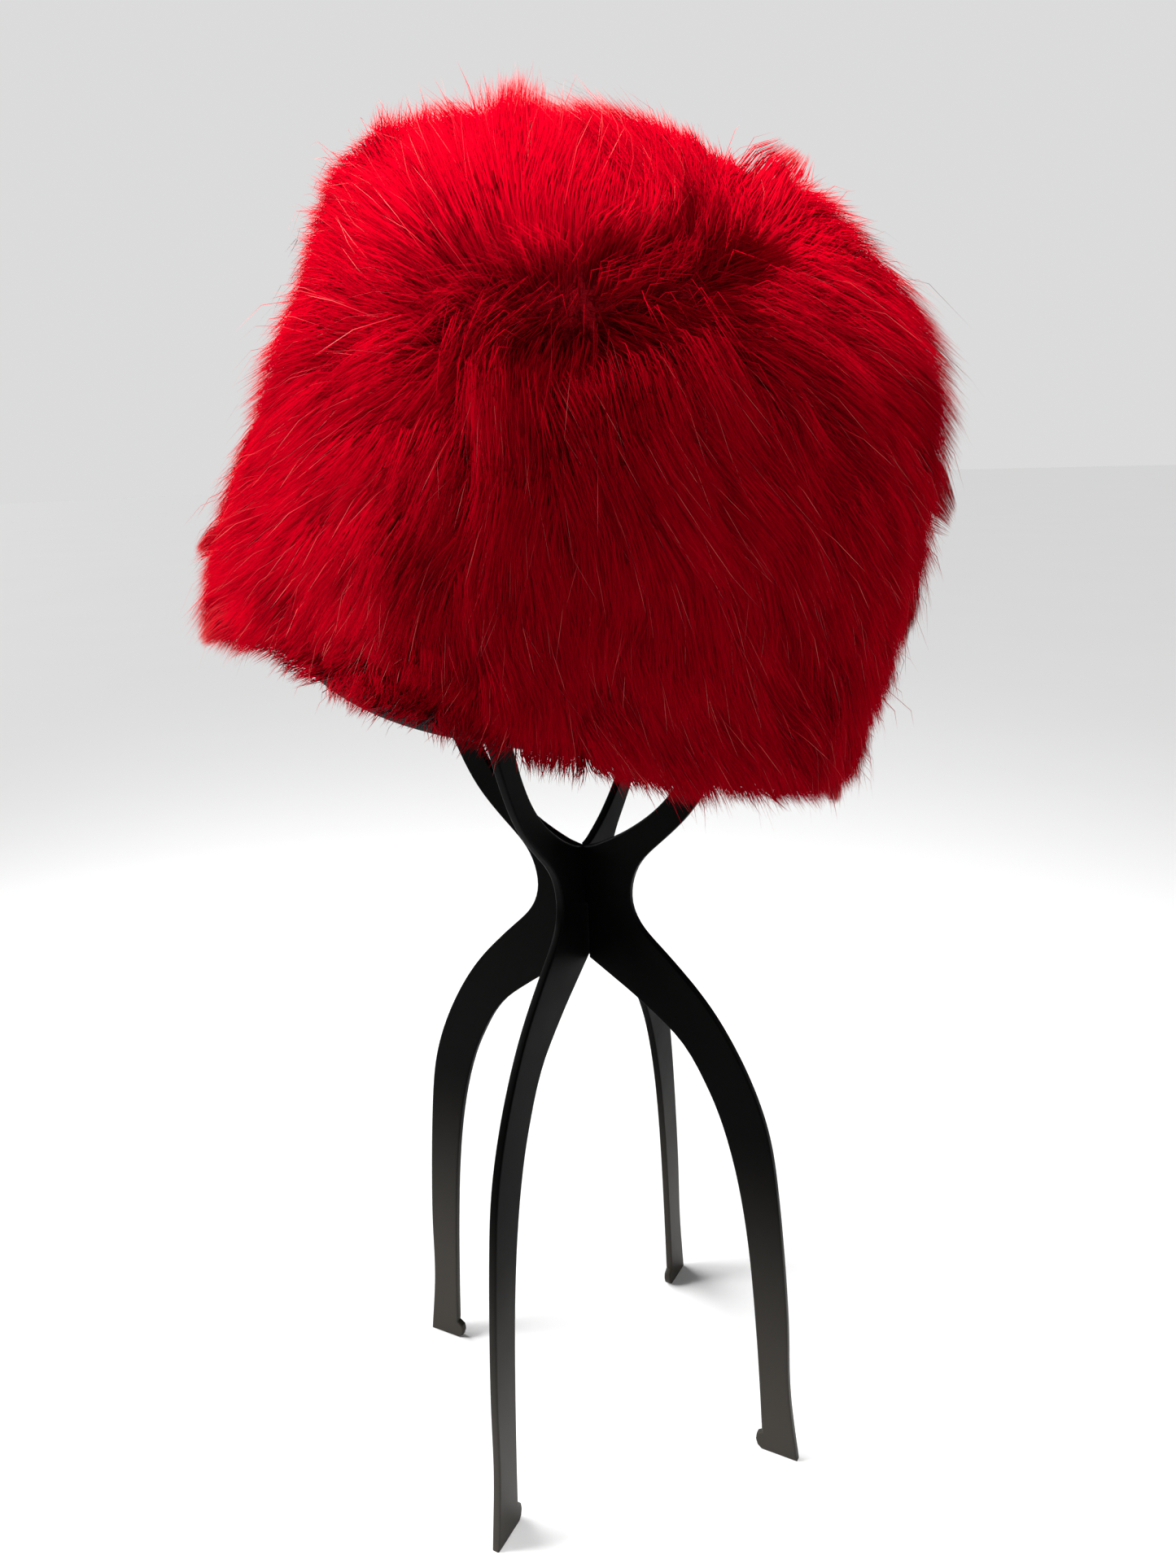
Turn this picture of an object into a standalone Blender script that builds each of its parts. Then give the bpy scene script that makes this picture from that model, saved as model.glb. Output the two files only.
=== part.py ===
"""A long-pile fur beanie pulled on askew over a folding wig stand of two slotted plates.

Metres, +Z up, the camera side at -Y. The stand's two plates cross on a vertical axis and stand on four
feet. The beanie is a black cloth cap, a hollow wall open at the bottom, inside a deep pile of fur whose
locks run away from a whorl on the front of the crown.
"""

import math
import random

import bmesh
import bpy
from mathutils import Matrix, Vector
from mathutils.bvhtree import BVHTree

# Stand, measured from its axis and up from the floor
FOOT_REACH = 0.085
FOOT_WIDTH = 0.0145
TOE_REACH = 0.0024
TOE_HEIGHT = 0.0095
LEG_ARCH_HEIGHT = 0.198
HUB_HEIGHT = 0.042
NECK_REACH = 0.0183
ARM_HEIGHT = 0.110
DOME_REACH = 0.069
DOME_RISE = 0.1055
LIMB_WIDTH = 0.012
TIP_REACH = 0.008
PLATE_THICKNESS = 0.003
PLATE_EDGE = 0.0004
SLOT_CLEARANCE = 0.0003
PLATE_TURN = math.radians(-28.2)

# Cap, measured in its own frame: its axis is +Z and its hem lies at height 0
CAP_RADIUS = 0.091
CAP_DEPTH = 0.147
CAP_WALL_HEIGHT = 0.052
CROWN_SLOPE = 0.13
CLOTH_THICKNESS = 0.002
SEAT_GAP = 0.0003
HEM_SAG = 0.007
HAT_LEAN_SIDE = math.radians(16.5)
HAT_LEAN_FRONT = math.radians(3)
HAT_SHIFT_X = -0.0123
HAT_SHIFT_Y = 0.0043

# Fur
PILE_DEPTH = 0.016
PILE_OVERHANG = 0.003
LOCK_LENGTH = 0.052
RIM_LOCK_LENGTH = 0.032
LOCK_WIDTH = 0.030
LOCK_THICKNESS = 0.0075
LOCK_LIFT = 0.0065
WHORL_TURN = math.radians(258)
WHORL_CLIMB = 0.31
CROWN_LOCKS = 94
RIM_LOCKS = 40

# Facets
TURN_STEPS = 32
CLIMB_STEPS = 10
DOME_POWER = 2.6

# Outer edge of a leg: height as a share of the neck's height, reach from the neck's to the foot's
LEG_OUTER = (
    ("height", "reach"),
    (0.00, 1.000),
    (0.135, 0.944),
    (0.27, 0.928),
    (0.40, 0.897),
    (0.52, 0.858),
    (0.615, 0.812),
    (0.69, 0.735),
    (0.77, 0.608),
    (0.846, 0.440),
    (0.92, 0.205),
    (0.96, 0.062),
    (1.00, 0.000),
)

# Inner edge of a leg above its toe: height as a share of the arch's, reach as a share of the foot's
LEG_INNER = (
    ("height", "reach"),
    (0.05, 1.000),
    (0.15, 0.985),
    (0.30, 0.957),
    (0.45, 0.918),
    (0.58, 0.862),
    (0.69, 0.784),
    (0.775, 0.688),
    (0.86, 0.540),
    (0.925, 0.320),
    (0.975, 0.110),
    (1.00, 0.000),
)

# Outer edge of an arm: height from the neck to the dome's middle, reach from the neck's to the dome's
ARM_OUTER = (
    ("height", "reach"),
    (0.00, 0.000),
    (0.073, 0.030),
    (0.130, 0.100),
    (0.191, 0.262),
    (0.277, 0.470),
    (0.36, 0.600),
    (0.50, 0.755),
    (0.66, 0.880),
    (0.82, 0.960),
    (1.00, 1.000),
)

# Inner edge of an arm: height from the hub's top to the dome's middle, reach as a share of the dome's
ARM_INNER = (
    ("height", "reach"),
    (0.00, 0.000),
    (0.018, 0.110),
    (0.077, 0.318),
    (0.165, 0.530),
    (0.27, 0.685),
    (0.42, 0.812),
    (0.60, 0.903),
    (0.80, 0.970),
    (1.00, 1.000),
)

# How far the pulled-on hat stands out to each side, by share of its depth, against an even round cap
SIDES = (
    ("height", "left", "right"),
    (0.00, 1.01, 1.02),
    (0.12, 1.01, 1.02),
    (0.30, 0.98, 1.02),
    (0.50, 0.95, 1.01),
    (0.70, 0.96, 1.01),
    (0.86, 1.01, 0.96),
    (1.00, 1.05, 0.86),
)

# A lock from root to tip: share of its width and thickness, and its middle's lift off the pile
LOCK_SECTIONS = (
    ("along", "width", "thickness", "lift"),
    (0.00, 0.55, 0.80, -0.45),
    (0.32, 1.00, 1.00, 0.05),
    (0.68, 0.66, 0.75, 0.55),
    (1.00, 0.00, 0.00, 1.00),
)

# Corners of a lock's section: a ridge on top and two shoulders
LOCK_CORNERS = ((0.0, 0.5), (-0.5, -0.35), (0.5, -0.35))


def clear_scene():
    for found in list(bpy.data.objects):
        bpy.data.objects.remove(found, do_unlink=True)


def make_collection(name, helper=False):
    made = bpy.data.collections.new(name)
    bpy.context.scene.collection.children.link(made)
    made.hide_render = helper
    return made


def make_material(name, colour, roughness):
    made = bpy.data.materials.new(name)
    made.use_nodes = True
    shader = made.node_tree.nodes["Principled BSDF"]
    shader.inputs["Base Color"].default_value = (*colour, 1)
    shader.inputs["Roughness"].default_value = roughness
    shader.inputs["Metallic"].default_value = 0
    return made


def column(table, name):
    place = table[0].index(name)
    return [row[place] for row in table[1:]]


def read_table(table, name, share):
    """A smooth value of the named column at this share of the table's first column."""
    steps = column(table, table[0][0])
    values = column(table, name)
    share = min(max(share, steps[0]), steps[-1])
    last = len(steps) - 1
    low = max(i for i in range(last) if steps[i] <= share)
    slopes = []
    for i in (low, low + 1):
        before, after = max(i - 1, 0), min(i + 1, last)
        slopes.append((values[after] - values[before]) / (steps[after] - steps[before]))
    width = steps[low + 1] - steps[low]
    t = (share - steps[low]) / width
    return (
        (2 * t**3 - 3 * t**2 + 1) * values[low]
        + (t**3 - 2 * t**2 + t) * width * slopes[0]
        + (3 * t**2 - 2 * t**3) * values[low + 1]
        + (t**3 - t**2) * width * slopes[1]
    )


# Heights that follow from the stand's sizes
NECK_HEIGHT = LEG_ARCH_HEIGHT + 0.55 * HUB_HEIGHT
HUB_TOP = LEG_ARCH_HEIGHT + HUB_HEIGHT
DOME_MIDDLE = HUB_TOP + ARM_HEIGHT


def table_edge(table, point):
    """The outline points of one edge, where point turns a row's height and reach into a place."""
    return [point(height, reach) for height, reach in table[1:]]


def leg_outer(height, share):
    return (NECK_REACH + (FOOT_REACH - NECK_REACH) * share, NECK_HEIGHT * height)


def leg_inner(height, share):
    return ((FOOT_REACH - FOOT_WIDTH) * share, LEG_ARCH_HEIGHT * height)


def arm_outer(height, share):
    return (
        NECK_REACH + (DOME_REACH - NECK_REACH) * share,
        NECK_HEIGHT + (DOME_MIDDLE - NECK_HEIGHT) * height,
    )


def arm_inner(height, share):
    return ((DOME_REACH - LIMB_WIDTH) * share, HUB_TOP + ARM_HEIGHT * height)


def toe_points():
    """The rounded toe on the inner side of a foot, from the sole up to the leg."""
    inner = FOOT_REACH - FOOT_WIDTH
    return [
        (inner, 0.0),
        (inner - 0.7 * TOE_REACH, 0.16 * TOE_HEIGHT),
        (inner - TOE_REACH, 0.42 * TOE_HEIGHT),
        (inner - 0.85 * TOE_REACH, 0.68 * TOE_HEIGHT),
        (inner + 0.1 * TOE_REACH, 0.85 * TOE_HEIGHT),
    ]


def dome_arc(inset, steps, last_reach):
    """An elliptic arc over the stand's top, from the dome's widest place in to last_reach from the axis."""
    reach, rise = DOME_REACH - inset, DOME_RISE - inset
    last = math.acos(last_reach / reach)
    angles = [last * i / steps for i in range(1, steps + 1)]
    return [(reach * math.cos(a), DOME_MIDDLE + rise * math.sin(a)) for a in angles]


def tip_points(steps=3):
    """The half round end of an arm."""
    radius = LIMB_WIDTH / 2
    outer = dome_arc(0, 1, TIP_REACH + radius)[-1]
    inner = dome_arc(LIMB_WIDTH, 1, TIP_REACH + radius)[-1]
    middle = ((outer[0] + inner[0]) / 2, (outer[1] + inner[1]) / 2)
    half = (outer[1] - inner[1]) / 2
    angles = [math.pi / 2 + math.pi * i / (steps + 1) for i in range(1, steps + 1)]
    return [(middle[0] + radius * math.cos(a), middle[1] + half * math.sin(a)) for a in angles]


def cut_at_slot(points, slot_half, slot_end):
    """Ends an edge that runs in to the axis at a slot's side, then follows that side to the slot's end."""
    kept = [p for p in points if p[0] > 1.5 * slot_half]
    near, far = kept[-1], next(p for p in points if p[0] <= 1.5 * slot_half)
    part = (near[0] - slot_half) / (near[0] - far[0])
    mouth = near[1] + (far[1] - near[1]) * part
    return kept + [(slot_half, mouth), (slot_half, slot_end)]


def plate_outline(slot_from):
    """The whole closed outline of a plate, whose slot opens at the bottom or at the top of the hub."""
    slot_half = PLATE_THICKNESS / 2 + SLOT_CLEARANCE
    hub_middle = LEG_ARCH_HEIGHT + HUB_HEIGHT / 2
    lower = table_edge(LEG_INNER, leg_inner)
    upper = table_edge(ARM_INNER, arm_inner)[::-1]
    if slot_from == "bottom":
        lower = cut_at_slot(lower, slot_half, hub_middle + SLOT_CLEARANCE / 2)
    else:
        upper = cut_at_slot(upper, slot_half, hub_middle - SLOT_CLEARANCE / 2)
    inner_reach = TIP_REACH + LIMB_WIDTH / 2
    half = lower[::-1] + toe_points()[::-1]
    half += table_edge(LEG_OUTER, leg_outer) + table_edge(ARM_OUTER, arm_outer)[1:]
    half += dome_arc(0, 7, inner_reach) + tip_points() + dome_arc(LIMB_WIDTH, 6, inner_reach)[::-1]
    half += upper
    mirrored = [(-x, z) for x, z in half[::-1] if x > 0]
    return half + mirrored


def make_plate(name, slot_from, turn, collection, material):
    """A flat plate cut to its outline, standing on edge through the stand's axis and turned about it."""
    curve = bpy.data.curves.new(name + "_outline", "CURVE")
    curve.dimensions = "2D"
    curve.fill_mode = "BOTH"
    curve.extrude = PLATE_THICKNESS / 2
    points = plate_outline(slot_from)
    spline = curve.splines.new("POLY")
    spline.points.add(len(points) - 1)
    for point, (x, z) in zip(spline.points, points):
        point.co = (x, z, 0, 1)
    spline.use_cyclic_u = True
    blank = bpy.data.objects.new(name + "_outline", curve)
    bpy.context.scene.collection.objects.link(blank)
    bpy.context.view_layer.update()
    graph = bpy.context.evaluated_depsgraph_get()
    mesh = bpy.data.meshes.new_from_object(blank.evaluated_get(graph))
    bpy.data.objects.remove(blank)

    shape = bmesh.new()
    shape.from_mesh(mesh)
    bmesh.ops.remove_doubles(shape, verts=shape.verts, dist=0.00001)
    flat = math.radians(0.5)
    bmesh.ops.dissolve_limit(shape, angle_limit=flat, verts=shape.verts, edges=shape.edges)
    bmesh.ops.recalc_face_normals(shape, faces=shape.faces)
    shape.to_mesh(mesh)
    shape.free()
    mesh.name = name
    mesh.materials.append(material)

    plate = bpy.data.objects.new(name, mesh)
    plate.rotation_euler = (math.pi / 2, 0, turn)
    collection.objects.link(plate)
    edge = plate.modifiers.new("Eased edge", "BEVEL")
    edge.width = PLATE_EDGE
    edge.segments = 1
    edge.limit_method = "ANGLE"
    edge.angle_limit = math.radians(50)
    return plate


def side_share(height, turn):
    """How far out the hat stands at this share of its depth, in this direction about its axis."""
    left = read_table(SIDES, "left", height)
    right = read_table(SIDES, "right", height)
    across = math.cos(turn)
    side = right if across > 0 else left
    middle = (left + right) / 2
    return middle + (side - middle) * across**2


def cap_point(turn, climb, offset, drop=0.0):
    """A point of the cap's inside moved out by offset.

    A straight wall for climbs from 0 to 1, then a rounded crown for climbs from 1 to 2, whose section is a
    superellipse that rises higher on the left than on the right. drop lowers the hem itself.
    """
    radius = CAP_RADIUS + offset
    rise = CAP_DEPTH + offset - CAP_WALL_HEIGHT
    if climb <= 1:
        height = CAP_WALL_HEIGHT * climb if climb > 0 else -drop
        reach = radius
    else:
        angle = (climb - 1) * math.pi / 2
        reach = radius * math.cos(angle) ** (2 / DOME_POWER)
        tilt = 1 - CROWN_SLOPE * math.cos(turn) * reach / radius
        height = CAP_WALL_HEIGHT + rise * tilt * math.sin(angle) ** (2 / DOME_POWER)
    share = side_share(height / (CAP_DEPTH + offset), turn)
    return Vector((reach * share * math.cos(turn), reach * share * math.sin(turn), height))


def hem_drop(turn):
    """How far the cloth hangs down at its hem: it sags where the fur is pushed up, at the front left."""
    sag_turn = math.radians(244)
    return HEM_SAG * max(0.0, math.cos(turn - sag_turn)) ** 8


def climb_rows():
    """The climbs of the rows, close together where the crown turns over."""
    wall = [i / 3 for i in range(3)]
    crown = [1 + i / (CLIMB_STEPS - 3) for i in range(CLIMB_STEPS - 3)]
    return wall + crown


def cap_surface(name, offset, drop):
    """An open cap from the hem up, closed by a fan at the crown, its quads all cut along one diagonal."""
    shape = bmesh.new()
    rings = []
    for climb in climb_rows():
        ring = []
        for step in range(TURN_STEPS):
            turn = math.tau * step / TURN_STEPS
            ring.append(shape.verts.new(cap_point(turn, climb, offset, drop(turn))))
        rings.append(ring)
    crown = shape.verts.new(cap_point(0, 2, offset))
    for low, high in zip(rings, rings[1:]):
        for i in range(TURN_STEPS):
            j = (i + 1) % TURN_STEPS
            shape.faces.new((low[i], low[j], high[j], high[i]))
    for i in range(TURN_STEPS):
        shape.faces.new((rings[-1][i], rings[-1][(i + 1) % TURN_STEPS], crown))
    bmesh.ops.triangulate(shape, faces=shape.faces, quad_method="FIXED")
    mesh = bpy.data.meshes.new(name)
    shape.to_mesh(mesh)
    shape.free()
    return mesh


def make_wall(name, offset, thickness, drop, collection, material):
    """A cap surface given a wall: a positive thickness grows it outwards, a negative one inwards."""
    mesh = cap_surface(name, offset, drop)
    mesh.materials.append(material)
    made = bpy.data.objects.new(name, mesh)
    collection.objects.link(made)
    wall = made.modifiers.new("Wall", "SOLIDIFY")
    wall.thickness = abs(thickness)
    wall.offset = math.copysign(1, thickness)
    wall.use_even_offset = True
    return made


def pile_surface():
    """The outside of the pile's backing, for the locks to start from and lie along."""
    offset = CLOTH_THICKNESS + SEAT_GAP + PILE_DEPTH
    shape = bmesh.new()
    mesh = cap_surface("pile_guide", offset, lambda turn: PILE_OVERHANG)
    shape.from_mesh(mesh)
    tree = BVHTree.FromBMesh(shape)
    shape.free()
    bpy.data.meshes.remove(mesh)
    return tree


def nap_direction(point, normal, whorl, down):
    """The way the fur lies: away from the whorl, and more and more downwards with distance from it."""
    away = point - whorl
    far = min(away.length / (2 * CAP_RADIUS), 1.0)
    pull = away.normalized() + down * (1.1 * far * far)
    along = pull - normal * pull.dot(normal)
    return along.normalized()


def lock_frames(surface, root, whorl, down, length):
    """Places and normals at the lock's sections, found by walking along the pile's surface."""
    place, normal, _, _ = surface.find_nearest(root)
    frames = [(place, normal)]
    stops = column(LOCK_SECTIONS, "along")
    for before, after in zip(stops, stops[1:]):
        step = nap_direction(place, normal, whorl, down) * length * (after - before)
        found, found_normal, _, _ = surface.find_nearest(place + step)
        overshoot = place + step - found
        beyond = overshoot - found_normal * overshoot.dot(found_normal)
        place, normal = found + beyond, found_normal
        frames.append((place, normal))
    return frames


def make_lock(shape, surface, root, whorl, down, length, width):
    """A pointed lock: a three-sided section along the nap, widest at a third and lifting to its tip."""
    frames = lock_frames(surface, root, whorl, down, length)
    rings = []
    for index, ((place, normal), section) in enumerate(zip(frames, LOCK_SECTIONS[1:])):
        _, wide, thick, lift = section
        ahead = frames[min(index + 1, len(frames) - 1)][0] - frames[max(index - 1, 0)][0]
        across = normal.cross(ahead).normalized()
        centre = place + normal * (LOCK_LIFT * lift)
        if wide == 0:
            rings.append([shape.verts.new(centre)])
            continue
        ring = []
        for side, up in LOCK_CORNERS:
            corner = centre + across * (side * wide * width) + normal * (up * thick * LOCK_THICKNESS)
            ring.append(shape.verts.new(corner))
        rings.append(ring)
    faces = [shape.faces.new(rings[0])]
    count = len(LOCK_CORNERS)
    for low, high in zip(rings, rings[1:]):
        for i in range(count):
            j = (i + 1) % count
            if len(high) == 1:
                faces.append(shape.faces.new((low[i], high[0], low[j])))
            else:
                faces.append(shape.faces.new((low[i], high[i], high[j], low[j])))
    return faces


def crown_roots(surface, centre):
    """Starts of the locks on the crown and walls, on an even spiral of directions from the cap's middle."""
    golden = math.pi * (3 - math.sqrt(5))
    lowest = -0.02
    for i in range(CROWN_LOCKS):
        height = 1 - (1 - lowest) * (i + 0.5) / CROWN_LOCKS
        reach = math.sqrt(1 - height * height)
        ray = Vector((reach * math.cos(i * golden), reach * math.sin(i * golden), height))
        hit = surface.ray_cast(centre, ray)[0]
        if hit is not None:
            yield hit


def rim_roots(surface):
    """Starts of the locks that hang over the rim, evenly round it, every other one higher up the wall."""
    offset = CLOTH_THICKNESS + SEAT_GAP + PILE_DEPTH
    for i in range(RIM_LOCKS):
        turn = math.tau * i / RIM_LOCKS
        climb = 0.48 if i % 2 else 0.66
        yield surface.find_nearest(cap_point(turn, climb, offset))[0], turn


def make_fur(collection, blanks, material, down):
    """The pile's backing with every lock joined to it by a Boolean union."""
    inside = CLOTH_THICKNESS + SEAT_GAP
    fur = make_wall("hat_fur", inside, PILE_DEPTH, lambda turn: PILE_OVERHANG, collection, material)
    surface = pile_surface()
    centre = Vector((0, 0, CAP_WALL_HEIGHT))
    whorl = cap_point(WHORL_TURN, 1 + WHORL_CLIMB, inside + PILE_DEPTH)
    vary = random.Random(7)
    starts = [(root, LOCK_LENGTH) for root in crown_roots(surface, centre)]
    starts += [(root, RIM_LOCK_LENGTH - hem_drop(turn)) for root, turn in rim_roots(surface)]
    shape = bmesh.new()
    for root, mean_length in starts:
        length = mean_length * vary.uniform(0.85, 1.15)
        width = LOCK_WIDTH * vary.uniform(0.85, 1.1)
        make_lock(shape, surface, root, whorl, down, length, width)
    mesh = bpy.data.meshes.new("fur_locks")
    bmesh.ops.recalc_face_normals(shape, faces=shape.faces)
    bmesh.ops.triangulate(shape, faces=shape.faces)
    shape.to_mesh(mesh)
    shape.free()
    locks = bpy.data.objects.new("fur_locks", mesh)
    locks.hide_render = True
    locks.display_type = "WIRE"
    blanks.objects.link(locks)
    fur.modifiers.new("Facets", "TRIANGULATE")
    join = fur.modifiers.new("Locks", "BOOLEAN")
    join.operation = "UNION"
    join.object = locks
    join.use_self = True
    keep_outer_skin(fur)
    return fur


def face_groups(shape):
    """The groups of faces that join each other across edges with one face on each side."""
    waiting = set(shape.faces)
    while waiting:
        group, reached = [], [waiting.pop()]
        while reached:
            face = reached.pop()
            group.append(face)
            for edge in face.edges:
                beside = [other for other in edge.link_faces if other in waiting]
                if len(edge.link_faces) == 2:
                    waiting.difference_update(beside)
                    reached += beside
        yield group


def keep_outer_skin(piece):
    """Applies the piece's modifiers and clears the small voids that crossing locks enclose."""
    graph = bpy.context.evaluated_depsgraph_get()
    graph.update()
    mesh = bpy.data.meshes.new_from_object(piece.evaluated_get(graph))
    piece.modifiers.clear()
    shape = bmesh.new()
    shape.from_mesh(mesh)
    groups = sorted(face_groups(shape), key=len)
    enclosed = [face for group in groups[:-1] for face in group]
    bmesh.ops.delete(shape, geom=enclosed, context="FACES")
    shape.to_mesh(mesh)
    shape.free()
    mesh.name = piece.name
    piece.data = mesh


def hat_turn():
    """The turn from the cap's own frame to the stand's: first towards the front, then to the side."""
    return Matrix.Rotation(HAT_LEAN_SIDE, 4, "Y") @ Matrix.Rotation(HAT_LEAN_FRONT, 4, "X")


def seat_hat(lining):
    """The cap's place on the stand: as low as it goes with its inside clear of the arms by the seat gap."""
    graph = bpy.context.evaluated_depsgraph_get()
    evaluated = lining.evaluated_get(graph)
    shape = bmesh.new()
    shape.from_mesh(evaluated.to_mesh())
    shape.transform(Matrix.Translation((HAT_SHIFT_X, HAT_SHIFT_Y, 0)) @ hat_turn())
    cloth = BVHTree.FromBMesh(shape)
    shape.free()
    rim = dome_arc(0, 40, TIP_REACH + LIMB_WIDTH / 2) + tip_points()
    lift = -math.inf
    for turn in (PLATE_TURN + math.pi / 2 * i for i in range(4)):
        for reach, height in rim:
            for side in (-PLATE_THICKNESS / 2, PLATE_THICKNESS / 2):
                x = reach * math.cos(turn) - side * math.sin(turn)
                y = reach * math.sin(turn) + side * math.cos(turn)
                hit = cloth.ray_cast(Vector((x, y, 0)), Vector((0, 0, 1)))[0]
                if hit is not None:
                    lift = max(lift, height - hit.z)
    place = Vector((HAT_SHIFT_X, HAT_SHIFT_Y, lift + SEAT_GAP))
    return Matrix.Translation(place) @ hat_turn()


def centre_on_floor(parts):
    """Moves the parts so that the origin is the middle of their box on the floor."""
    bpy.context.view_layer.update()
    graph = bpy.context.evaluated_depsgraph_get()
    corners = []
    for part in parts:
        evaluated = part.evaluated_get(graph)
        mesh = evaluated.to_mesh()
        corners += [part.matrix_world @ vertex.co for vertex in mesh.vertices]
        evaluated.to_mesh_clear()
    middle_x = (min(c.x for c in corners) + max(c.x for c in corners)) / 2
    middle_y = (min(c.y for c in corners) + max(c.y for c in corners)) / 2
    shift = Vector((-middle_x, -middle_y, 0))
    for moved in parts:
        moved.location += shift


def main():
    clear_scene()
    parts = make_collection("fur_beanie_on_stand")
    blanks = make_collection("lock_blanks", helper=True)
    fur_red = make_material("fur_red", (0.45, 0.0, 0.02), 0.8)
    cloth_black = make_material("cloth_black", (0.012, 0.011, 0.012), 0.9)
    plastic_black = make_material("plastic_black", (0.02, 0.02, 0.021), 0.4)

    plate_a = make_plate("stand_plate_a", "bottom", PLATE_TURN, parts, plastic_black)
    plate_b = make_plate("stand_plate_b", "top", PLATE_TURN + math.pi / 2, parts, plastic_black)
    lining = make_wall("hat_lining", CLOTH_THICKNESS, -CLOTH_THICKNESS, hem_drop, parts, cloth_black)
    bpy.context.view_layer.update()
    place = seat_hat(lining)
    down = (hat_turn().inverted() @ Vector((0, 0, -1))).normalized()
    fur = make_fur(parts, blanks, fur_red, down)
    for piece in (lining, fur):
        piece.matrix_world = place
    pieces = (plate_a, plate_b, lining, fur)
    centre_on_floor(pieces)
    for piece in pieces:
        piece.data.shade_smooth()
        piece.data.set_sharp_from_angle(angle=math.radians(35))


main()
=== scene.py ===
"""Looks of a long-pile fur beanie on a folding wig stand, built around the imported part.

Metres, +Z up, the camera side at -Y. The hat is worked out in its own frame, whose axis is +Z and whose hem
lies at height 0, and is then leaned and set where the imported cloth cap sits. The fur is made of ribbons: each
starts in the backing, leans over along the nap and gathers with its neighbours into locks.
"""

import math

import bpy
import numpy as np
from bpy.props import FloatProperty, FloatVectorProperty, IntProperty, PointerProperty
from mathutils import Matrix, Vector


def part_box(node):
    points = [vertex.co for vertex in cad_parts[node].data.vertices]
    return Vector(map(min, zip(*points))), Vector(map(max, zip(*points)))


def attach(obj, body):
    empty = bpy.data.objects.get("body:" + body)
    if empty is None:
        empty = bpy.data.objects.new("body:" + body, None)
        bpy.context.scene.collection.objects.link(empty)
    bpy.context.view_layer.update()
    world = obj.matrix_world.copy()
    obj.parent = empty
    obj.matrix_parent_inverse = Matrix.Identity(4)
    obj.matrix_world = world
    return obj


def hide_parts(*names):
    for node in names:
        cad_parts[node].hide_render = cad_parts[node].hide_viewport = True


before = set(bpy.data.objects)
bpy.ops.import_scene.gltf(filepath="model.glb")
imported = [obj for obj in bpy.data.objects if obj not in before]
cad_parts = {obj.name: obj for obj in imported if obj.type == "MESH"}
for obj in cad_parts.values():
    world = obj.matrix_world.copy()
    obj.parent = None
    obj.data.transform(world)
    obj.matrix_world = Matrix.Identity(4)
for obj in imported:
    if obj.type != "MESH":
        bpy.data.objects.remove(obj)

bl_info = {
    "name": "Fur beanie on a wig stand",
    "version": (1, 0, 0),
    "blender": (4, 5, 0),
    "location": "3D View > Sidebar > Fur Beanie",
    "description": "Dresses the packed hat and stand with long fur, cloth and moulded plastic",
    "category": "Object",
}

# Stand, measured from its axis and up from the floor, as in the part
FOOT_REACH = 0.085
FOOT_WIDTH = 0.0145
TOE_REACH = 0.0024
TOE_HEIGHT = 0.0095
LEG_ARCH_HEIGHT = 0.198
HUB_HEIGHT = 0.042
NECK_REACH = 0.0183
ARM_HEIGHT = 0.110
DOME_REACH = 0.069
DOME_RISE = 0.1055
LIMB_WIDTH = 0.012
TIP_REACH = 0.008
PLATE_THICKNESS = 0.003
SLOT_CLEARANCE = 0.0003
PLATE_TURN = math.radians(-28.2)
NECK_HEIGHT = LEG_ARCH_HEIGHT + 0.55 * HUB_HEIGHT
HUB_TOP = LEG_ARCH_HEIGHT + HUB_HEIGHT
DOME_MIDDLE = HUB_TOP + ARM_HEIGHT

# Cap, as in the part
CAP_RADIUS = 0.091
CAP_DEPTH = 0.147
CAP_WALL_HEIGHT = 0.052
CROWN_SLOPE = 0.13
CLOTH_THICKNESS = 0.002
SEAT_GAP = 0.0003
HEM_SAG = 0.007
HEM_SAG_TURN = math.radians(244)
LOW_CORNER_TURN = math.radians(205)
HAT_LEAN_SIDE = math.radians(16.5)
HAT_LEAN_FRONT = math.radians(3)
DOME_POWER = 2.6

# Cloth and backing: the depth of the welt inside the hem, and the height of the backing's roughness
WELT_DEPTH = 0.0005
BACKING_ROUGHNESS = 0.0012

# Fur: the level above the cloth's inside along which hairs are led, and how much an arm lifts the pile
HAIR_LEVEL = 0.012
ARM_RISE = 0.0015

# Random waves as pairs of strength and wavelength: of the backing, of the nap's turn and of the pile's lift
ROUGH_WAVES = ((0.4, 0.006), (0.6, 0.014))
SWIRL_WAVES = ((0.34, 0.055), (0.26, 0.018))
LIFT_WAVES = ((0.0030, 0.040), (0.0023, 0.014))

# Stage: the height that the lights aim at, the floor's reach, the grey seen behind it, and the painted grey on
# the feet that stands in for the white floor's reflection
AIM_HEIGHT = 0.33
FLOOR_REACH = 14.0
SEEN_GREY = 0.71
FLOOR_REFLECTION_GREY = (0.026, 0.022, 0.017, 1)

# Outer edge of a leg: height as a share of the neck's height, reach from the neck's to the foot's
LEG_OUTER = (
    ("height", "reach"),
    (0.00, 1.000),
    (0.135, 0.944),
    (0.27, 0.928),
    (0.40, 0.897),
    (0.52, 0.858),
    (0.615, 0.812),
    (0.69, 0.735),
    (0.77, 0.608),
    (0.846, 0.440),
    (0.92, 0.205),
    (0.96, 0.062),
    (1.00, 0.000),
)

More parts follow.
